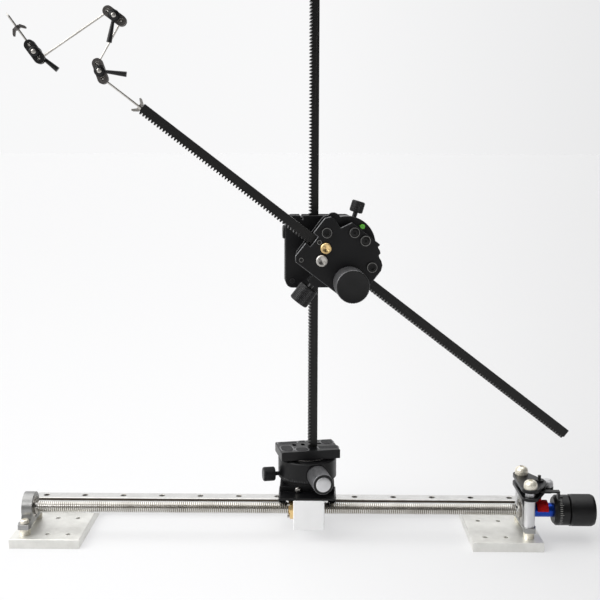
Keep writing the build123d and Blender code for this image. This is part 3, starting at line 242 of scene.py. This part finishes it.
# The finish of each material slot.
FINISH = {
    "plate_steel": surface(
        "blasted_plate", (0.86, 0.855, 0.82), (0.76, 0.755, 0.72),
        metallic=0.85, roughness=0.46, spread=0.06, grain=900, depth=0.02,
        edge=(0.93, 0.9, 0.85), edge_radius=0.4),
    "rail_steel": surface(
        "ground_rail", (0.78, 0.775, 0.76), (0.7, 0.695, 0.68),
        metallic=1.0, roughness=0.26, spread=0.06, grain=2500, depth=0.006,
        stretch=LONG_X, edge=(0.62, 0.5, 0.36), edge_radius=0.3),
    "screw_steel": surface(
        "rolled_screw", (0.78, 0.78, 0.77), (0.68, 0.67, 0.65),
        metallic=1.0, roughness=0.2, spread=0.06, grain=1500, depth=0.008),
    "zinc": surface(
        "zinc_casting", (0.36, 0.36, 0.355), (0.29, 0.29, 0.285),
        metallic=0.9, roughness=0.36, spread=0.08, grain=700, depth=0.015,
        edge=(0.72, 0.72, 0.7)),
    "nickel": surface(
        "nickel_plate", (0.84, 0.8, 0.7), (0.74, 0.69, 0.57),
        metallic=0.45, roughness=0.32, spread=0.06, grain=900, depth=0.006,
        edge=(0.9, 0.88, 0.8), edge_radius=0.2),
    "bright_steel": surface(
        "bright_steel", (0.6, 0.58, 0.55), (0.46, 0.44, 0.41),
        metallic=1.0, roughness=0.3, spread=0.06, grain=1800, depth=0.005),
    "sleeve": surface(
        "satin_sleeve", (0.7, 0.7, 0.71), (0.62, 0.62, 0.63),
        metallic=0.8, roughness=0.42, spread=0.06, grain=1500, depth=0.01,
        edge=(0.85, 0.85, 0.84)),
    "black_anodised": surface(
        "black_anodised", (0.005, 0.005, 0.0055), (0.0035, 0.0035, 0.004),
        metallic=0.0, roughness=0.34, spread=0.06, grain=1300, depth=0.008,
        edge=(0.07, 0.07, 0.073), edge_radius=0.2, specular=0.26),
    "black_steel": surface(
        "blackened_steel", (0.008, 0.0075, 0.007), (0.005, 0.005, 0.005),
        metallic=0.0, roughness=0.36, spread=0.08, grain=1200, depth=0.012,
        edge=(0.07, 0.066, 0.062), edge_radius=0.15, specular=0.3),
    "black_knob": surface(
        "black_knob", (0.007, 0.007, 0.0075), (0.005, 0.005, 0.005),
        metallic=0.0, roughness=0.36, spread=0.08, grain=1800, depth=0.015,
        edge=(0.05, 0.05, 0.053), edge_radius=0.15, specular=0.32),
    "blue_anodised": surface(
        "blue_anodised", (0.012, 0.075, 0.5), (0.008, 0.05, 0.38),
        metallic=0.75, roughness=0.3, spread=0.06, grain=1500, depth=0.008,
        edge=(0.1, 0.22, 0.7), edge_radius=0.2),
    "red_felt": surface(
        "red_felt", (0.68, 0.012, 0.012), (0.5, 0.006, 0.008),
        metallic=0.0, roughness=0.85, spread=0.08, grain=2600, depth=0.09,
        edge=(0.75, 0.03, 0.03), specular=0.2, patch=300),
    "white_plastic": surface(
        "white_plastic", (0.93, 0.93, 0.93), (0.9, 0.9, 0.9),
        metallic=0.0, roughness=0.42, spread=0.05, grain=1100, depth=0.008,
        edge=(0.96, 0.96, 0.95)),
    "brass": surface(
        "turned_brass", (0.85, 0.62, 0.3), (0.7, 0.48, 0.2),
        metallic=1.0, roughness=0.34, spread=0.06, grain=1500, depth=0.006,
        edge=(0.95, 0.8, 0.5), edge_radius=0.2),
    "grey_steel": surface(
        "grey_steel", (0.13, 0.12, 0.115), (0.09, 0.083, 0.08),
        metallic=0.7, roughness=0.34, spread=0.08, grain=1500, depth=0.01,
        edge=(0.4, 0.39, 0.38), edge_radius=0.2),
    "green_vial": surface(
        "green_vial", (0.12, 0.55, 0.03), (0.08, 0.42, 0.02),
        metallic=0.0, roughness=0.1, spread=0.03, grain=500, depth=0.0,
        specular=0.6),
}

# Finishes for details, beside the slots' own.
# A paler, more metallic finish for the plates' chamfer faces: a painted highlight along the cut edges.
CHAMFER_HIGHLIGHT = surface(
    "black_chamfer_painted_highlight", (0.14, 0.14, 0.145), (0.06, 0.06, 0.062),
    metallic=0.8, roughness=0.28, spread=0.08, grain=1500, depth=0.004,
    patch=400)
# A grey metallic finish on the knobs' ribbed bands: a painted sheen, lighter than the black knob itself.
KNURL_SHEEN = surface(
    "black_knurl_painted_sheen", (0.26, 0.26, 0.27), (0.18, 0.18, 0.185),
    metallic=0.8, roughness=0.36, spread=0.06, grain=1800, depth=0.01)
# Darker brownish faces in the thread's roots: painted shade between the turns.
THREAD_ROOT_SHADE = surface(
    "thread_root_painted_shade", (0.42, 0.38, 0.32), (0.3, 0.27, 0.22),
    metallic=0.8, roughness=0.4, spread=0.06, grain=1500, depth=0.008)
# A dark strip along the rail's front side: painted shade in its upper groove.
GROOVE_SHADE = surface(
    "rail_groove_painted_shade", (0.06, 0.045, 0.03), (0.035, 0.025, 0.018),
    metallic=0.3, roughness=0.4, spread=0.06, grain=1500, depth=0.004)
# A bright ring round each face screw: a painted highlight on its rim.
SCREW_RING_HIGHLIGHT = surface(
    "screw_ring_painted_highlight", (0.3, 0.295, 0.285), (0.18, 0.175, 0.17),
    metallic=0.9, roughness=0.3, spread=0.05, grain=1800, depth=0.004)
PALE_STOP = surface(
    "pale_stop", (0.62, 0.62, 0.63), (0.55, 0.55, 0.56),
    metallic=0.2, roughness=0.4, spread=0.05, grain=1200, depth=0.01)
# A dimmer painted highlight on the rear plate's and the mast head's chamfers, and round the mast head's screws.
DIM_EDGE_HIGHLIGHT = surface(
    "black_edge_dim_painted_highlight", (0.06, 0.06, 0.063), (0.035, 0.035, 0.037),
    metallic=0.5, roughness=0.3, spread=0.08, grain=1500, depth=0.004)
RUBBER = surface(
    "pad_rubber", (0.028, 0.028, 0.029), (0.02, 0.02, 0.021),
    metallic=0.0, roughness=0.7, spread=0.08, grain=3000, depth=0.03,
    specular=0.3)
RIDGE = surface(
    "pad_ridge", (0.2, 0.2, 0.205), (0.14, 0.14, 0.145),
    metallic=0.3, roughness=0.4, spread=0.06, grain=1500, depth=0.006)
MARKING = surface(
    "dial_marking", (0.5, 0.5, 0.48), (0.42, 0.42, 0.4),
    metallic=0.0, roughness=0.6, spread=0.05, grain=1500, depth=0.0)
FAINT_MARKING = surface(
    "faint_marking", (0.16, 0.16, 0.16), (0.12, 0.12, 0.12),
    metallic=0.0, roughness=0.6, spread=0.05, grain=1500, depth=0.0)


def dress_frame():
    """Every CAD node takes the finish of its slot."""
    for node, made in frame["nodes"].items():
        finish = FINISH[slot_of[node]]
        if made.data.materials:
            for index in range(len(made.data.materials)):
                made.data.materials[index] = finish
        else:
            made.data.materials.append(finish)


# ---------------------------------------------------------------- mesh helpers

def measure(node, origin, axis):
    """A node's lowest and highest reach along an axis and its largest distance from it."""
    low, high, radius = 1e9, -1e9, 0.0
    for vertex in frame["nodes"][node].data.vertices:
        offset = vertex.co - origin
        along = offset.dot(axis)
        low = min(low, along)
        high = max(high, along)
        radius = max(radius, (offset - along * axis).length)
    return low, high, radius


def joint_axis(name):
    """A joint's point and its direction."""
    return Vector(joints[name]["pos_m"]), Vector(joints[name]["axis"]).normalized()


def place(origin, axis, side=None):
    """A matrix whose own z is the axis and whose own x is near the given side."""
    z = axis.normalized()
    if side is None:
        side = Vector((1, 0, 0)) if abs(z.x) < 0.9 else Vector((0, 1, 0))
    x = (side - side.dot(z) * z).normalized()
    y = z.cross(x)
    return Matrix.Translation(origin) @ Matrix((x, y, z)).transposed().to_4x4()


def add_piece(name, mesh_data, body, slot, at=None, replaces=(), finish=None):
    """Turns a bmesh into a piece that rides on a body and wears a slot's finish."""
    bmesh.ops.recalc_face_normals(mesh_data, faces=mesh_data.faces)
    for face in mesh_data.faces:
        face.smooth = True
    for edge in mesh_data.edges:
        edge.smooth = len(edge.link_faces) == 2 and edge.calc_face_angle(0.0) < SHARP_ANGLE
    mesh = bpy.data.meshes.new(name)
    if at is not None:
        bmesh.ops.transform(mesh_data, matrix=at, verts=mesh_data.verts)
    mesh_data.to_mesh(mesh)
    mesh_data.free()
    piece = bpy.data.objects.new(name, mesh)
    bpy.context.scene.collection.objects.link(piece)
    mesh.materials.append(finish or FINISH[slot])
    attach(piece, body)
    if replaces:
        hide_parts(*replaces)
    return piece


def polar(radius, angle, z):
    return Vector((radius * math.cos(angle), radius * math.sin(angle), z))


def circle(radius, z, count=ROUND_POINTS):
    """A ring of points round the z axis."""
    return [polar(radius, 2 * math.pi * i / count, z) for i in range(count)]


def ribbed(radius, depth, z, ribs):
    """A ring with straight ribs: each rib has a flat crest and a flat root."""
    points = circle(radius, z, ribs * RIB_POINTS)
    for i, point in enumerate(points):
        if i % RIB_POINTS >= RIB_POINTS // 2:
            point.xy *= (radius - depth) / radius
    return points


def join_rows(mesh_data, lower, upper):
    """Faces between two closed rows of vertices of equal length."""
    count = len(lower)
    for i in range(count):
        mesh_data.faces.new((lower[i], lower[(i + 1) % count], upper[(i + 1) % count], upper[i]))


def loft(rings, mesh_data=None):
    """Joins rings of equal length one to the next and closes both ends."""
    mesh_data = mesh_data or bmesh.new()
    rows = [[mesh_data.verts.new(point) for point in points] for points in rings]
    for lower, upper in zip(rows, rows[1:]):
        join_rows(mesh_data, lower, upper)
    mesh_data.faces.new(list(reversed(rows[0])))
    mesh_data.faces.new(rows[-1])
    return mesh_data


def bevelled(name, node, body, width, finish):
    """The CAD node again with its sharp edges cut back, and another finish on the cuts, a paler painted highlight.
    """
    data = bmesh.new()
    data.from_mesh(frame["nodes"][node].data)
    bmesh.ops.remove_doubles(data, verts=data.verts, dist=WELD_DISTANCE)
    bmesh.ops.dissolve_limit(data, angle_limit=FLAT_ANGLE, verts=data.verts, edges=data.edges)
    sharp = [
        edge for edge in data.edges
        if len(edge.link_faces) == 2 and edge.calc_face_angle(0.0) > BEVEL_ANGLE
    ]
    bmesh.ops.bevel(
        data, geom=sharp, offset=width * MM, offset_type="OFFSET", segments=1, affect="EDGES",
        clamp_overlap=True, material=1)
    piece = add_piece(name, data, body, slot_of[node], None, (node,))
    piece.data.materials.append(finish)
    return piece


def make_bevels():
    """The plates whose cut-back edges catch the light and carry a painted highlight."""
    # Each bevel's second finish is a painted highlight on the cut edges.
    bevelled("boom_head_front_bevelled", "boom_head_front_plate", "boom_head", 0.8, CHAMFER_HIGHLIGHT)
    bevelled("boom_head_rear_bevelled", "boom_head_rear_plate", "boom_head", 0.5, DIM_EDGE_HIGHLIGHT)
    bevelled("mast_head_bevelled", "mast_head_plates", "mast_head", 0.6, DIM_EDGE_HIGHLIGHT)
    bevelled("bridge_plates_bevelled", "bridge_plates", "base", 0.4, CHAMFER_HIGHLIGHT)
    bevelled("quick_plate_bevelled", "quick_plate", "pan", 0.4, CHAMFER_HIGHLIGHT)


# ---------------------------------------------------------------- knobs and screws

def grip_knob(name, node, joint, body, ribs, depth, edge=0.8, stem=None, painted_sheen=True):
    """A ribbed knob in place of its CAD node, with a plain stem behind the head if it has one; with painted_sheen,
    its ribbed band takes a paler finish as a painted sheen.

    The ribs' depth, the width of the soft rims and the stem's radius are in millimetres.
    """
    origin, axis = joint_axis(joint)
    low, high, radius = measure(node, origin, axis)
    start = head_start(node, origin, axis, radius)
    count = ribs * RIB_POINTS
    soft = edge * MM
    root = radius - depth * MM
    dish = high - 0.12 * MM
    rings = []
    if stem:
        rings += [circle(stem * MM, low, count), circle(stem * MM, start, count)]
    rings += [
        circle(root - soft, start, count),
        circle(root, start + 0.6 * soft, count),
        circle(root, start + 1.2 * soft, count),
        ribbed(radius, depth * MM, start + 1.5 * soft, ribs),
        ribbed(radius, depth * MM, high - 1.3 * soft, ribs),
        circle(root, high - 1.0 * soft, count),
        circle(root - 0.35 * soft, high - 0.25 * soft, count),
        circle(root - soft, high, count),
        circle(root - soft - 0.5 * MM, dish, count),
        circle(radius * 0.3, dish, count),
    ]
    data = loft(rings)
    # The ribbed band in the paler finish: a painted sheen.
    if painted_sheen:
        for face in data.faces:
            if start < face.calc_center_median().z < high - 0.9 * soft:
                face.material_index = 1
    piece = add_piece(name, data, body, slot_of[node], place(origin, axis), (node,))
    if painted_sheen:
        piece.data.materials.append(KNURL_SHEEN)


def head_start(node, origin, axis, radius):
    """Where a knob's head begins along its axis: the lowest reach of anything wider than its stem."""
    offsets = [vertex.co - origin for vertex in frame["nodes"][node].data.vertices]
    return min(
        offset.dot(axis) for offset in offsets
        if (offset - offset.dot(axis) * axis).length > 0.6 * radius)


def make_knobs():
    """Every knob and thumb screw with its ribs."""
    grip_knob("boom_knob_ribbed", "boom_knob", "boom_pinion_turn", "boom_drive", 60, 0.35)
    grip_knob("mast_knob_ribbed", "mast_knob", "mast_pinion_turn", "mast_drive", 60, 0.35)
    grip_knob(
        "drive_knob_ribbed", "drive_knob", "screw_spin", "screw", 90, 0.12, edge=3.0, painted_sheen=False)
    grip_knob("pan_lock_ribbed", "pan_lock_knob", "pan_lock_turn", "pan_lock", 44, 0.4, stem=2)
    grip_knob("clamp_ribbed", "clamp_knob", "clamp_turn", "clamp", 32, 0.35, stem=2, painted_sheen=False)
    grip_knob(
        "swivel_lock_ribbed", "swivel_lock_screw", "swivel_lock_turn", "swivel_lock", 30, 0.35,
        stem=2.2, painted_sheen=False)
    grip_knob(
        "boom_lock_ribbed", "boom_lock_screw", "boom_lock_turn", "boom_lock", 40, 0.4,
        stem=2.5, painted_sheen=False)
    grip_knob(
        "mast_pinch_ribbed", "mast_pinch_knob", "mast_pinch_turn", "mast_pinch", 30, 0.3,
        stem=2, painted_sheen=False)


def dome(name, body, slot, at, radius, height, finish=None, base=0.0):
    """A low round cap whose shoulder rises from its own origin; its lengths are in millimetres."""
    rings = [
        circle(radius * MM, base * MM),
        circle(radius * MM, 0.35 * height * MM),
        circle(0.86 * radius * MM, 0.75 * height * MM),
        circle(0.5 * radius * MM, height * MM),
    ]
    add_piece(name, loft(rings), body, slot, at, (), finish)


def ring(name, body, slot, at, radius, width, height, finish=None):
    """A thin flat ring round its own z axis, in millimetres."""
    data = bmesh.new()
    section = ((radius - width, 0), (radius, 0), (radius, height), (radius - width, height))
    rows = [[data.verts.new(point) for point in circle(reach * MM, z * MM)] for reach, z in section]
    for lower, upper in zip(rows, rows[1:] + rows[:1]):
        join_rows(data, lower, upper)
    add_piece(name, data, body, slot, at, (), finish)


def islands(node):
    """The vertices of each separate solid in a node, always in the same order."""
    data = bmesh.new()
    data.from_mesh(frame["nodes"][node].data)
    bmesh.ops.remove_doubles(data, verts=data.verts, dist=WELD_DISTANCE)
    left = set(data.verts)
    groups = []
    for first in data.verts:
        if first not in left:
            continue
        left.remove(first)
        todo = [first]
        found = []
        while todo:
            vertex = todo.pop()
            found.append(vertex.co.copy())
            for edge in vertex.link_edges:
                other = edge.other_vert(vertex)
                if other in left:
                    left.remove(other)
                    todo.append(other)
        groups.append(found)
    data.free()
    return groups


def centre_and_top(points, axis):
    """The middle of a round solid's far end along an axis, and its radius."""
    top = max(point.dot(axis) for point in points)
    middle = sum(points, Vector()) / len(points)
    middle += (top - middle.dot(axis)) * axis
    radius = max((point - middle - (point - middle).dot(axis) * axis).length for point in points)
    return middle, radius


def make_caps():
    """The satin cap in the pan lock's face, a bright bolt in the bridge's front and a painted highlight ring on
    the drum's top rim.
    """
    origin, axis = joint_axis("pan_lock_turn")
    high = measure("pan_lock_knob", origin, axis)[1]
    rings = [
        circle(CAP_RADIUS * MM, high - 1.0 * MM),
        circle(CAP_RADIUS * MM, high + 0.1 * MM),
        circle((CAP_RADIUS - 0.5) * MM, high + 0.4 * MM),
        circle(3.0 * MM, high + 0.6 * MM),
    ]
    add_piece("pan_lock_cap", loft(rings), "pan_lock", "sleeve", place(origin, axis))
    front = Vector((0, -1, 0))
    highest = min(islands("carriage_screws"), key=lambda points: -centre_and_top(points, front)[0].z)
    middle = centre_and_top(highest, front)[0]
    dome("bridge_bolt", "carriage", "bright_steel", place(middle, front), BOLT_RADIUS, 1.4, base=-1.2)
    origin, axis = joint_axis("pan")
    top = measure("pan_drum", origin, axis)[1]
    at = place(origin + (top - 0.5 * MM) * axis, axis)
    # A bright ring at the drum's top rim: a painted highlight.
    ring("drum_rim_highlight", "pan", "bright_steel", at, DRUM_RIM_HIGHLIGHT_RADIUS, 0.4, 0.4)


def make_screw_rings():
    """A painted highlight ring round each screw in the front faces of the boom head and the mast head, dimmer on
    the mast head.
    """
    front = joint_axis("boom_pinion_turn")[1]
    for index, points in enumerate(islands("boom_head_screws")):
        middle, radius = centre_and_top(points, front)
        share = 1.0 if radius > 3 * MM else 0.9
        at = place(middle - 0.15 * MM * front, front)
        name = "face_screw_ring_highlight_%d" % index
        ring(name, "boom_head", "bright_steel", at, share * radius / MM, 0.45, 0.3, SCREW_RING_HIGHLIGHT)
    for index, points in enumerate(islands("mast_head_screws")):
        middle, radius = centre_and_top(points, front)
        if middle.y < joints["swivel"]["pos_m"][1]:
            at = place(middle - 0.1 * MM * front, front)
            name = "mast_screw_ring_highlight_%d" % index
            ring(name, "mast_head", "black_steel", at, radius / MM, 0.4, 0.25, DIM_EDGE_HIGHLIGHT)


def make_pale_stop():
    """The pale cap over the stop on the lower bridge plate."""
    stop = max(islands("standoffs"), key=lambda points: max(point.x for point in points))
    middle, radius = centre_and_top(stop, UP)
    foot = middle - (STOP_HEIGHT - 0.3) * MM * UP
    dome("pale_stop", "base", "sleeve", place(foot, UP), radius / MM + 0.15, STOP_HEIGHT, PALE_STOP)


def make_rail_groove_shade():
    """A dark strip along the rail's front side: painted shade in its upper groove."""
    low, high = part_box("guide_rail")
    data = bmesh.new()
    size = Matrix.Diagonal((high.x - low.x - 2 * MM, 0.3 * MM, GROOVE_WIDTH * MM, 1))
    middle = Vector(((low.x + high.x) / 2, low.y + 0.05 * MM, high.z - GROOVE_DROP * MM))
    bmesh.ops.create_cube(data, size=1, matrix=Matrix.Translation(middle) @ size)
    add_piece("rail_groove_painted_shade", data, "base", "rail_steel", None, (), GROOVE_SHADE)


def make_lever_hubs():
    """The pale centre and dark collar on each lever's hub."""
    for letter in "abc":
        origin, axis = joint_axis("lever_%s_turn" % letter)
        front = axis if axis.y < 0 else -axis
        top = measure("joint_lever_" + letter, origin, front)[1]
        at = place(origin + top * front, front)
        body = "lever_" + letter
        outer = at @ Matrix.Translation((0, 0, 1.0 * MM))
        dome("lever_hub_" + letter, body, "black_knob", at, HUB_RADIUS, 1.0, base=-1.0)
        dome("lever_pin_" + letter, body, "bright_steel", outer, PIN_RADIUS, 0.4)


def pad(data, x, y, wide, deep, corner, low, high):
    """A slab with round corners, in millimetres, standing on the plane z = low."""
    outline = []
    for quarter, (side_x, side_y) in enumerate(((1, 1), (-1, 1), (-1, -1), (1, -1))):
        middle = Vector((x + side_x * (wide / 2 - corner), y + side_y * (deep / 2 - corner), 0))
        for step in range(7):
            outline.append(middle + polar(corner, math.radians(90 * quarter + 15 * step), 0))
    loft([[Vector((point.x, point.y, z)) * MM for point in outline] for z in (low, high)], data)


def make_pads():
    """Rubber pads in pale frames on the clamp's plate."""
    origin, up = joint_axis("pan")
    along = -joint_axis("clamp_turn")[1]
    top = measure("quick_plate", origin, up)[1]
    at = place(origin + top * up, up, along)
    frames, rubber = bmesh.new(), bmesh.new()
    for x, y, wide, deep, corner in PADS:
        pad(frames, x, y, wide + 2.4, deep + 1.8, corner + 0.8, -0.3, 0.15)
        pad(rubber, x, y, wide, deep, corner, -0.2, 0.4)
    add_piece("plate_pad_frames", frames, "pan", "black_anodised", at, (), RIDGE)
    add_piece("plate_pads", rubber, "pan", "black_knob", at, (), RUBBER)


# ---------------------------------------------------------------- lead screw

def helix(low, high, radius, around=24):
    """One closed trapezoid thread from low to high along z, with its root in the second finish, a painted shade.
    """
    data = bmesh.new()
    pitch = THREAD_PITCH * MM
    count = len(THREAD_SECTION)
    rows = []
    for turn in range(int((high - low) / pitch)):
        for offset, share in THREAD_SECTION:
            start = low + turn * pitch + offset * MM
            rows.append([
                data.verts.new(polar(radius * share, 2 * math.pi * i / around, start + pitch * i / around))
                for i in range(around)
            ])
    for k in range(len(rows) - 1):
        for i in range(around - 1):
            face = data.faces.new((rows[k][i], rows[k][i + 1], rows[k + 1][i + 1], rows[k + 1][i]))
            # The root faces take the darker finish: painted shade between the turns.
            face.material_index = 1 if k % count == 0 else 0
        if k + count + 1 < len(rows):
            data.faces.new((rows[k][-1], rows[k + count][0], rows[k + count + 1][0], rows[k + 1][-1]))
    first = data.verts.new((0, 0, low))
    start_loop = rows[0] + [rows[count][0]] + [rows[k][0] for k in range(count - 1, 0, -1)]
    for a, b in zip(start_loop, start_loop[1:] + start_loop[:1]):
        data.faces.new((first, b, a))
    last = data.verts.new((0, 0, high))
    end_loop = rows[-1] + [rows[k][-1] for k in range(len(rows) - 2, len(rows) - 1 - count, -1)]
    for a, b in zip(end_loop, end_loop[1:] + end_loop[:1]):
        data.faces.new((last, a, b))
    return data


def make_lead_screw():
    """The thread between the CAD screw's shoulders, and a plain core that ends where the CAD screw ends."""
    origin, axis = joint_axis("screw_spin")
    low, high, radius = measure("lead_screw", origin, axis)
    thread_low = head_start("lead_screw", origin, axis, radius / 0.7)
    thread_high = -head_start("lead_screw", origin, -axis, radius / 0.7)
    at = place(origin, axis)
    thread = helix(thread_low, thread_high, radius)
    piece = add_piece("lead_screw_thread", thread, "screw", "screw_steel", at, ("lead_screw",))
    piece.data.materials.append(THREAD_ROOT_SHADE)
    chamfer = CORE_CHAMFER * MM
    end_radius = CORE_RADIUS * MM - chamfer
    core = [
        circle(end_radius, low),
        circle(CORE_RADIUS * MM, low + chamfer),
        circle(CORE_RADIUS * MM, high - chamfer),
        circle(end_radius, high),
    ]
    add_piece("lead_screw_core", loft(core), "screw", "screw_steel", at)


# ---------------------------------------------------------------- dial and scale

def tick_ring(name, count, long_every, radius, low, short, long, width, at, body, finish):
    """Raised lines round a cylinder, every few of them longer; the lines' own sizes are in millimetres."""
    data = bmesh.new()
    for i in range(count):
        length = (long if i % long_every == 0 else short) * MM
        tick = Matrix.Rotation(2 * math.pi * i / count, 4, "Z")
        tick = tick @ Matrix.Translation((radius, 0, low + length / 2))
        tick = tick @ Matrix.Diagonal((0.12 * MM, width * MM, length, 1))
        bmesh.ops.create_cube(data, size=1, matrix=tick)
    add_piece(name, data, body, "white_plastic", at, (), finish)


def make_scales():
    """The ticks on the dial and on the clamp's drum."""
    origin, axis = joint_axis("screw_spin")
    low, high, radius = measure("dial_collar", origin, axis)
    at = place(origin, axis)
    tick_ring(
        "dial_ticks", DIAL_TICKS, 5, radius, low + 4.4 * MM, 2.4, 3.6, 0.3, at, "screw", MARKING)
    origin, axis = joint_axis("pan")
    low, high, radius = measure("pan_drum", origin, axis)
    at = place(origin, axis)
    tick_ring(
        "pan_ticks", DRUM_TICKS, 6, radius, low + 1.4 * MM, 1.4, 2.4, 0.25, at, "pan", FAINT_MARKING)


# ---------------------------------------------------------------- studio

def lobe(tree, direction, aim, full, end, strength):
    """A soft-edged bright patch of sky round one direction, like a softbox."""
    near = dot_product(tree, direction, Vector(aim).normalized())
    return ramp(tree, near, 0.0, strength, end, full)


def sweep_tint(tree, x, y):
    """The paper's own glow: brightest on the left and in the middle, duller to the right."""
    slope = math_node(tree, "DIVIDE", x, math_node(tree, "MAXIMUM", y, 0.05))
    return blend_colour(tree, ramp(tree, slope, 0.0, 1.0, 0.0, 0.34), PAPER_LEFT, PAPER_RIGHT)


def floor_material():
    """Pale paper, lit partly by its own glow so that shadows on it stay faint."""
    made, tree, shader = shader_tree("paper_sweep")
    parts = tree.nodes.new("ShaderNodeSeparateXYZ")
    coordinates = tree.nodes.new("ShaderNodeTexCoord")
    tree.links.new(coordinates.outputs["Object"], parts.inputs["Vector"])
    depth = math_node(tree, "SUBTRACT", parts.outputs["Y"], PAPER_CENTRE_Y)
    tint = sweep_tint(tree, parts.outputs["X"], depth)
    grain = ramp(tree, noise(tree, 300, 3.0), 0.82, 0.9)
    tree.links.new(tint, shader.inputs["Emission Color"])
    shader.inputs["Emission Strength"].default_value = 1.0
    shader.inputs["Base Color"].default_value = (PAPER_SCATTER, PAPER_SCATTER, PAPER_SCATTER, 1)
    tree.links.new(grain, shader.inputs["Roughness"])
    shader.inputs["Specular IOR Level"].default_value = 0.0
    return made


def make_world():
    """A bright wall behind, a softbox overhead and one to the left, and a dark room behind the camera."""
    world = bpy.data.worlds.new("studio")
    bpy.context.scene.world = world
    world.use_nodes = True
    tree = world.node_tree
    direction = tree.nodes.new("ShaderNodeTexCoord").outputs["Generated"]
    parts = tree.nodes.new("ShaderNodeSeparateXYZ")
    tree.links.new(direction, parts.inputs["Vector"])
    paper = sweep_tint(tree, parts.outputs["X"], parts.outputs["Y"])
    wall = math_node(
        tree, "ADD", paper, (WALL_LIFT, WALL_LIFT, WALL_LIFT), kind="ShaderNodeVectorMath", output="Vector")
    wall_share = ramp(tree, parts.outputs["Y"], 0.07, 1.0, 0.45, 0.8)
    overhead = lobe(tree, direction, *OVERHEAD_BOX)
    left = lobe(tree, direction, *LEFT_BOX)
    boxes = math_node(tree, "ADD", overhead, left)
    sky = math_node(
        tree, "MULTIPLY_ADD", wall, wall_share, boxes, kind="ShaderNodeVectorMath", output="Vector")
    tree.links.new(sky, tree.nodes["Background"].inputs["Color"])
    tree.nodes["Background"].inputs["Strength"].default_value = 1.0


def make_floor():
    """The paper that the rig stands on."""
    data = bmesh.new()
    bmesh.ops.create_circle(data, cap_ends=True, segments=96, radius=FLOOR_RADIUS)
    mesh = bpy.data.meshes.new("floor")
    data.to_mesh(mesh)
    data.free()
    floor = bpy.data.objects.new("floor", mesh)
    floor.location.z = cad_low.z
    bpy.context.scene.collection.objects.link(floor)
    mesh.materials.append(floor_material())


def make_fill():
    """A weak soft light from the left of the camera."""
    light = bpy.data.lights.new("fill", "AREA")
    light.shape = "RECTANGLE"
    light.size, light.size_y = FILL_SIZE
    light.energy = FILL_POWER
    made = bpy.data.objects.new("fill", light)
    made.location = FILL_PLACE
    made.rotation_euler = (0.2 * UP - made.location).to_track_quat("-Z", "Y").to_euler()
    bpy.context.scene.collection.objects.link(made)


def make_camera():
    """The camera in front of the rig, a little above it."""
    camera = bpy.data.cameras.new("camera")
    camera.lens = LENS
    camera.sensor_width = SENSOR_WIDTH
    camera.clip_start = 0.01
    camera.clip_end = 100.0
    made = bpy.data.objects.new("camera", camera)
    turn = Matrix.Rotation(math.radians(CAMERA_YAW), 4, "Z")
    turn = turn @ Matrix.Rotation(math.pi / 2 - math.radians(CAMERA_PITCH), 4, "X")
    turn = turn @ Matrix.Rotation(math.radians(CAMERA_ROLL), 4, "Z")
    made.matrix_world = Matrix.Translation(CAMERA_PLACE) @ turn
    bpy.context.scene.collection.objects.link(made)
    bpy.context.scene.camera = made


dress_frame()
make_knobs()
make_caps()
make_lead_screw()
make_scales()
make_bevels()
make_screw_rings()
make_pale_stop()
make_pads()
make_rail_groove_shade()
make_lever_hubs()
make_floor()
make_world()
make_fill()
make_camera()
bpy.context.scene.view_settings.view_transform = "Standard"
